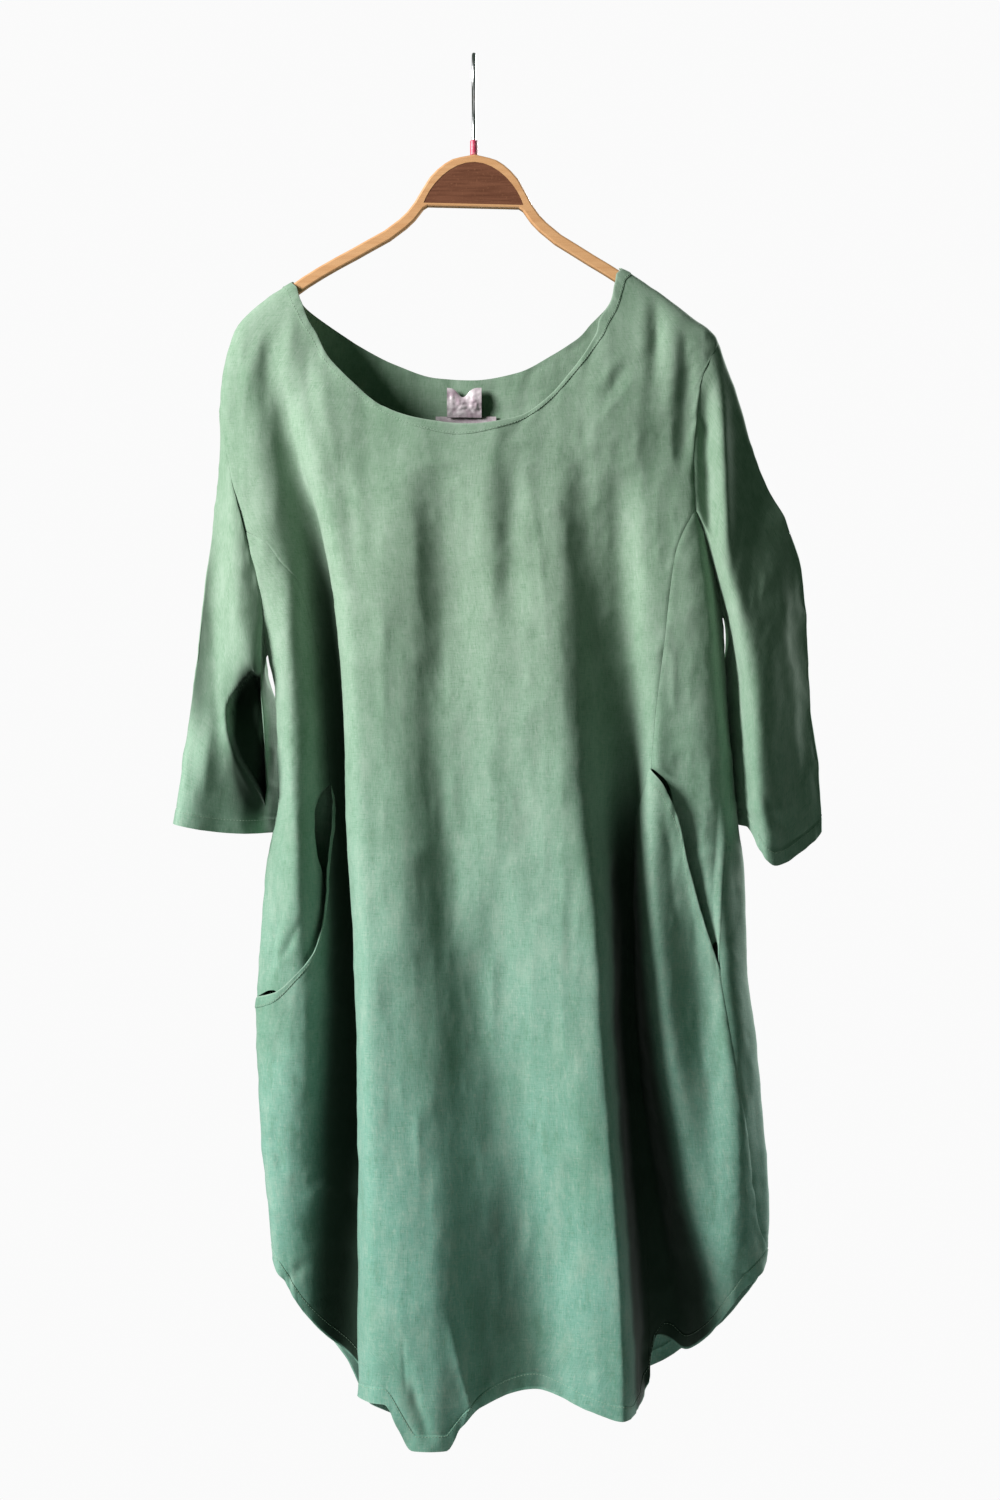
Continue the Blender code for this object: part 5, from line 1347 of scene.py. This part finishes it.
def label(node, shape, flatSize, area):
    u = np.linspace(0, 1, shape["columns"])[None]
    v = np.linspace(0, shape["layers"], shape["rows"])[:, None]
    down = np.where(v > 1, 2 - v, v)
    left, right, top, bottom = shape["box"]
    x = left + (right - left) * u + 0 * v
    sag = shape["sag"] * np.exp(-(((u - labelShape["sagAt"]) / labelShape["sagWidth"]) ** 2)) * (1 - down)
    height = top - sag - (top - sag - bottom) * down
    belly = np.sin(np.pi * np.clip(down, 0, 1)) * np.where(v > 1, labelShape["behind"], 1)
    out = shape["lift"] + shape["belly"] * belly
    out = out - np.where(v > 1, shape["gap"], 0) * ramp((v - 1) / labelShape["fold"])
    wall = body(placeOf(x, height, backSide), height)
    flat = np.stack([x, 0 * x, height], -1)
    crumple = sum(share * cloud(flat, size, seed) for share, size, seed in labelShape["crumples"])
    loose = np.sin(np.pi * np.clip(down, labelShape["held"], 1 - labelShape["held"]))
    out = out + shape["crumple"] * crumple * loose * np.where(v > 1, 0, 1)
    points = np.stack([x, wall[..., 1] - out, height], -1)
    normals = gridNormals(points, np.broadcast_to((0.0, -1.0, 0.0), points.shape))
    if shape["layers"] > 1:
        normals = unit(np.cross(np.gradient(points, axis=0), np.gradient(points, axis=1)))
        normals = normals * -np.sign(normals[2, 2, 1])
    made = shell(node + "_cloth", points, normals, labelShape["thickness"], flatPlaces(points), satin.material)
    sewSheet(made, node, "satin", flatSize, area)


label("loop_label", {
    "columns": 56, "rows": 110, "layers": 1.9, "box": (-26.0, 7.0, -311.5, -340.0), "sag": 9.0,
    "lift": 4.6, "belly": 2.6, "gap": 1.8, "crumple": 0.9,
}, (0.033, 0.056), 0.0018)
label("care_label", {
    "columns": 50, "rows": 40, "layers": 1.0, "box": (-37.0, 21.0, -338.5, -372.0), "sag": 1.0,
    "lift": 1.7, "belly": 0.4, "gap": 0.0, "crumple": 0.25,
}, (0.058, 0.034), 0.00194)
print("labels made")

# The hanger's finishes: pale beech, a brown-stained plate, chromed wire and a pink sleeve
beech = Paint("beech", (0.72, 0.40, 0.20), Roughness=0.42, Coat_Weight=0.15)
along = beech.noise((9, 120, 220), 4.0, 0.6, turn=(0, 0.55, 0))
pores = beech.noise((60, 900, 1300), 2.0, 0.6, turn=(0, 0.55, 0))
beech.layers((0.76, 0.42, 0.20), [
    (along, 0.35, 0.7, 1.0, (0.68, 0.35, 0.155)),
    (pores, 0.56, 0.7, 0.22, (0.42, 0.19, 0.08)),
])
beech.bump(pores, 0.0001, 0.4)

stained = Paint("stained_plate", (0.16, 0.055, 0.025), Roughness=0.45, Coat_Weight=0.1)
fibres = stained.noise((25, 200, 420), 4.0, 0.65)
flecks = stained.noise((500, 500, 500), 2.0, 0.6)
stained.layers((0.205, 0.075, 0.038), [
    (fibres, 0.35, 0.7, 1.0, (0.125, 0.040, 0.018)),
    (flecks, 0.58, 0.72, 0.5, (0.29, 0.12, 0.06)),
])
stained.bump(flecks, 0.00008, 0.4)

wire = Paint("chromed_wire", (0.62, 0.62, 0.63), Metallic=1.0, Roughness=0.22)
tarnish = wire.noise((300, 300, 90), 3.0, 0.6)
wire.layers((0.60, 0.60, 0.61), [(tarnish, 0.5, 0.8, 0.4, (0.34, 0.31, 0.30))])
wire.set("Roughness", wire.fade(tarnish, 0.3, 0.8, (0.28, 0.42)))

tube = Paint("pink_tube", (0.62, 0.06, 0.13), Roughness=0.4)
rubbed = tube.noise((400, 400, 400), 3.0, 0.6)
tube.layers((0.60, 0.055, 0.12), [(rubbed, 0.45, 0.75, 1.0, (0.80, 0.30, 0.34))])
tube.bump(rubbed, 0.00015, 0.5)

for node, finish in (("hanger_bar", beech), ("hanger_plate", stained), ("hook", wire), ("hook_sleeve", tube)):
    bpy.data.objects[node].material_slots[0].material = finish.material
print("hanger finished")

# The set: a pale round of floor, a large soft lamp from the front left, one behind, and pale light all round
stage = {
    "floorHeight": -1.95,
    "floorReach": 1.5,
    "floorSides": 96,
    "aim": (0.0, 0.0, -0.65),
    "worldStrength": 0.06,
    "backgroundStrength": 0.96,
    "worldTint": (0.58, 1.0, 0.70, 1),
}
lamps = (
    # name, place in metres, width, power in watts
    ("key", (-3.0, -1.65, 0.75), 1.4, 250.0),
    ("back", (2.2, 2.4, 0.7), 1.6, 170.0),
)

floorPaint = Paint("pale_floor", (0.55, 0.55, 0.55), Roughness=0.9, Specular_IOR_Level=0.1)
grain = floorPaint.noise((2, 2, 2), 3.0, 0.6)
floorPaint.set("Base Color", floorPaint.mix(grain, (0.54, 0.54, 0.54), (0.56, 0.56, 0.56)))
turns = np.linspace(0, 2 * math.pi, stage["floorSides"], endpoint=False)
floorMesh = bpy.data.meshes.new("floor")
reach = stage["floorReach"]
floorMesh.from_pydata([(reach * math.cos(turn), reach * math.sin(turn), stage["floorHeight"]) for turn in turns],
                      [], [tuple(range(stage["floorSides"]))])
link("floor", floorMesh, floorPaint.material)

for name, spot, width, power in lamps:
    lamp = bpy.data.lights.new(name, "AREA")
    lamp.shape = "DISK"
    lamp.size = width
    lamp.energy = power
    lampObject = added(name, lamp)
    lampObject.location = spot
    lampObject.rotation_euler = (Vector(spot) - Vector(stage["aim"])).to_track_quat("Z", "Y").to_euler()
    lampObject.visible_camera = False

world = bpy.data.worlds.new("studio")
world.use_nodes = True
bpy.context.scene.world = world
sky = Tree(world.node_tree, "Background")
seen = sky.node("ShaderNodeLightPath", {}, {}, "Is Camera Ray")
sky.set("Strength", sky.node("ShaderNodeMapRange", {}, {
    "Value": seen, "To Min": stage["worldStrength"], "To Max": stage["backgroundStrength"],
}))
sky.set("Color", sky.node("ShaderNodeMix", {"data_type": "RGBA"}, {
    "Factor": seen, "A": stage["worldTint"], "B": (1, 1, 1, 1),
}, 2))

camera = bpy.data.cameras.new("camera")
camera.sensor_width = 36.0
camera.lens = camera.sensor_width * view["distance"] / (view["scale"] * view["height"])
camera.clip_end = 200.0
cameraObject = added("camera", camera)
cameraObject.location = (view["middle"][0] * mm, -view["distance"] * mm, view["middle"][1] * mm)
cameraObject.rotation_euler = (math.pi / 2, 0, 0)
bpy.context.scene.camera = cameraObject
bpy.context.scene.view_settings.view_transform = "Standard"
print("set made")
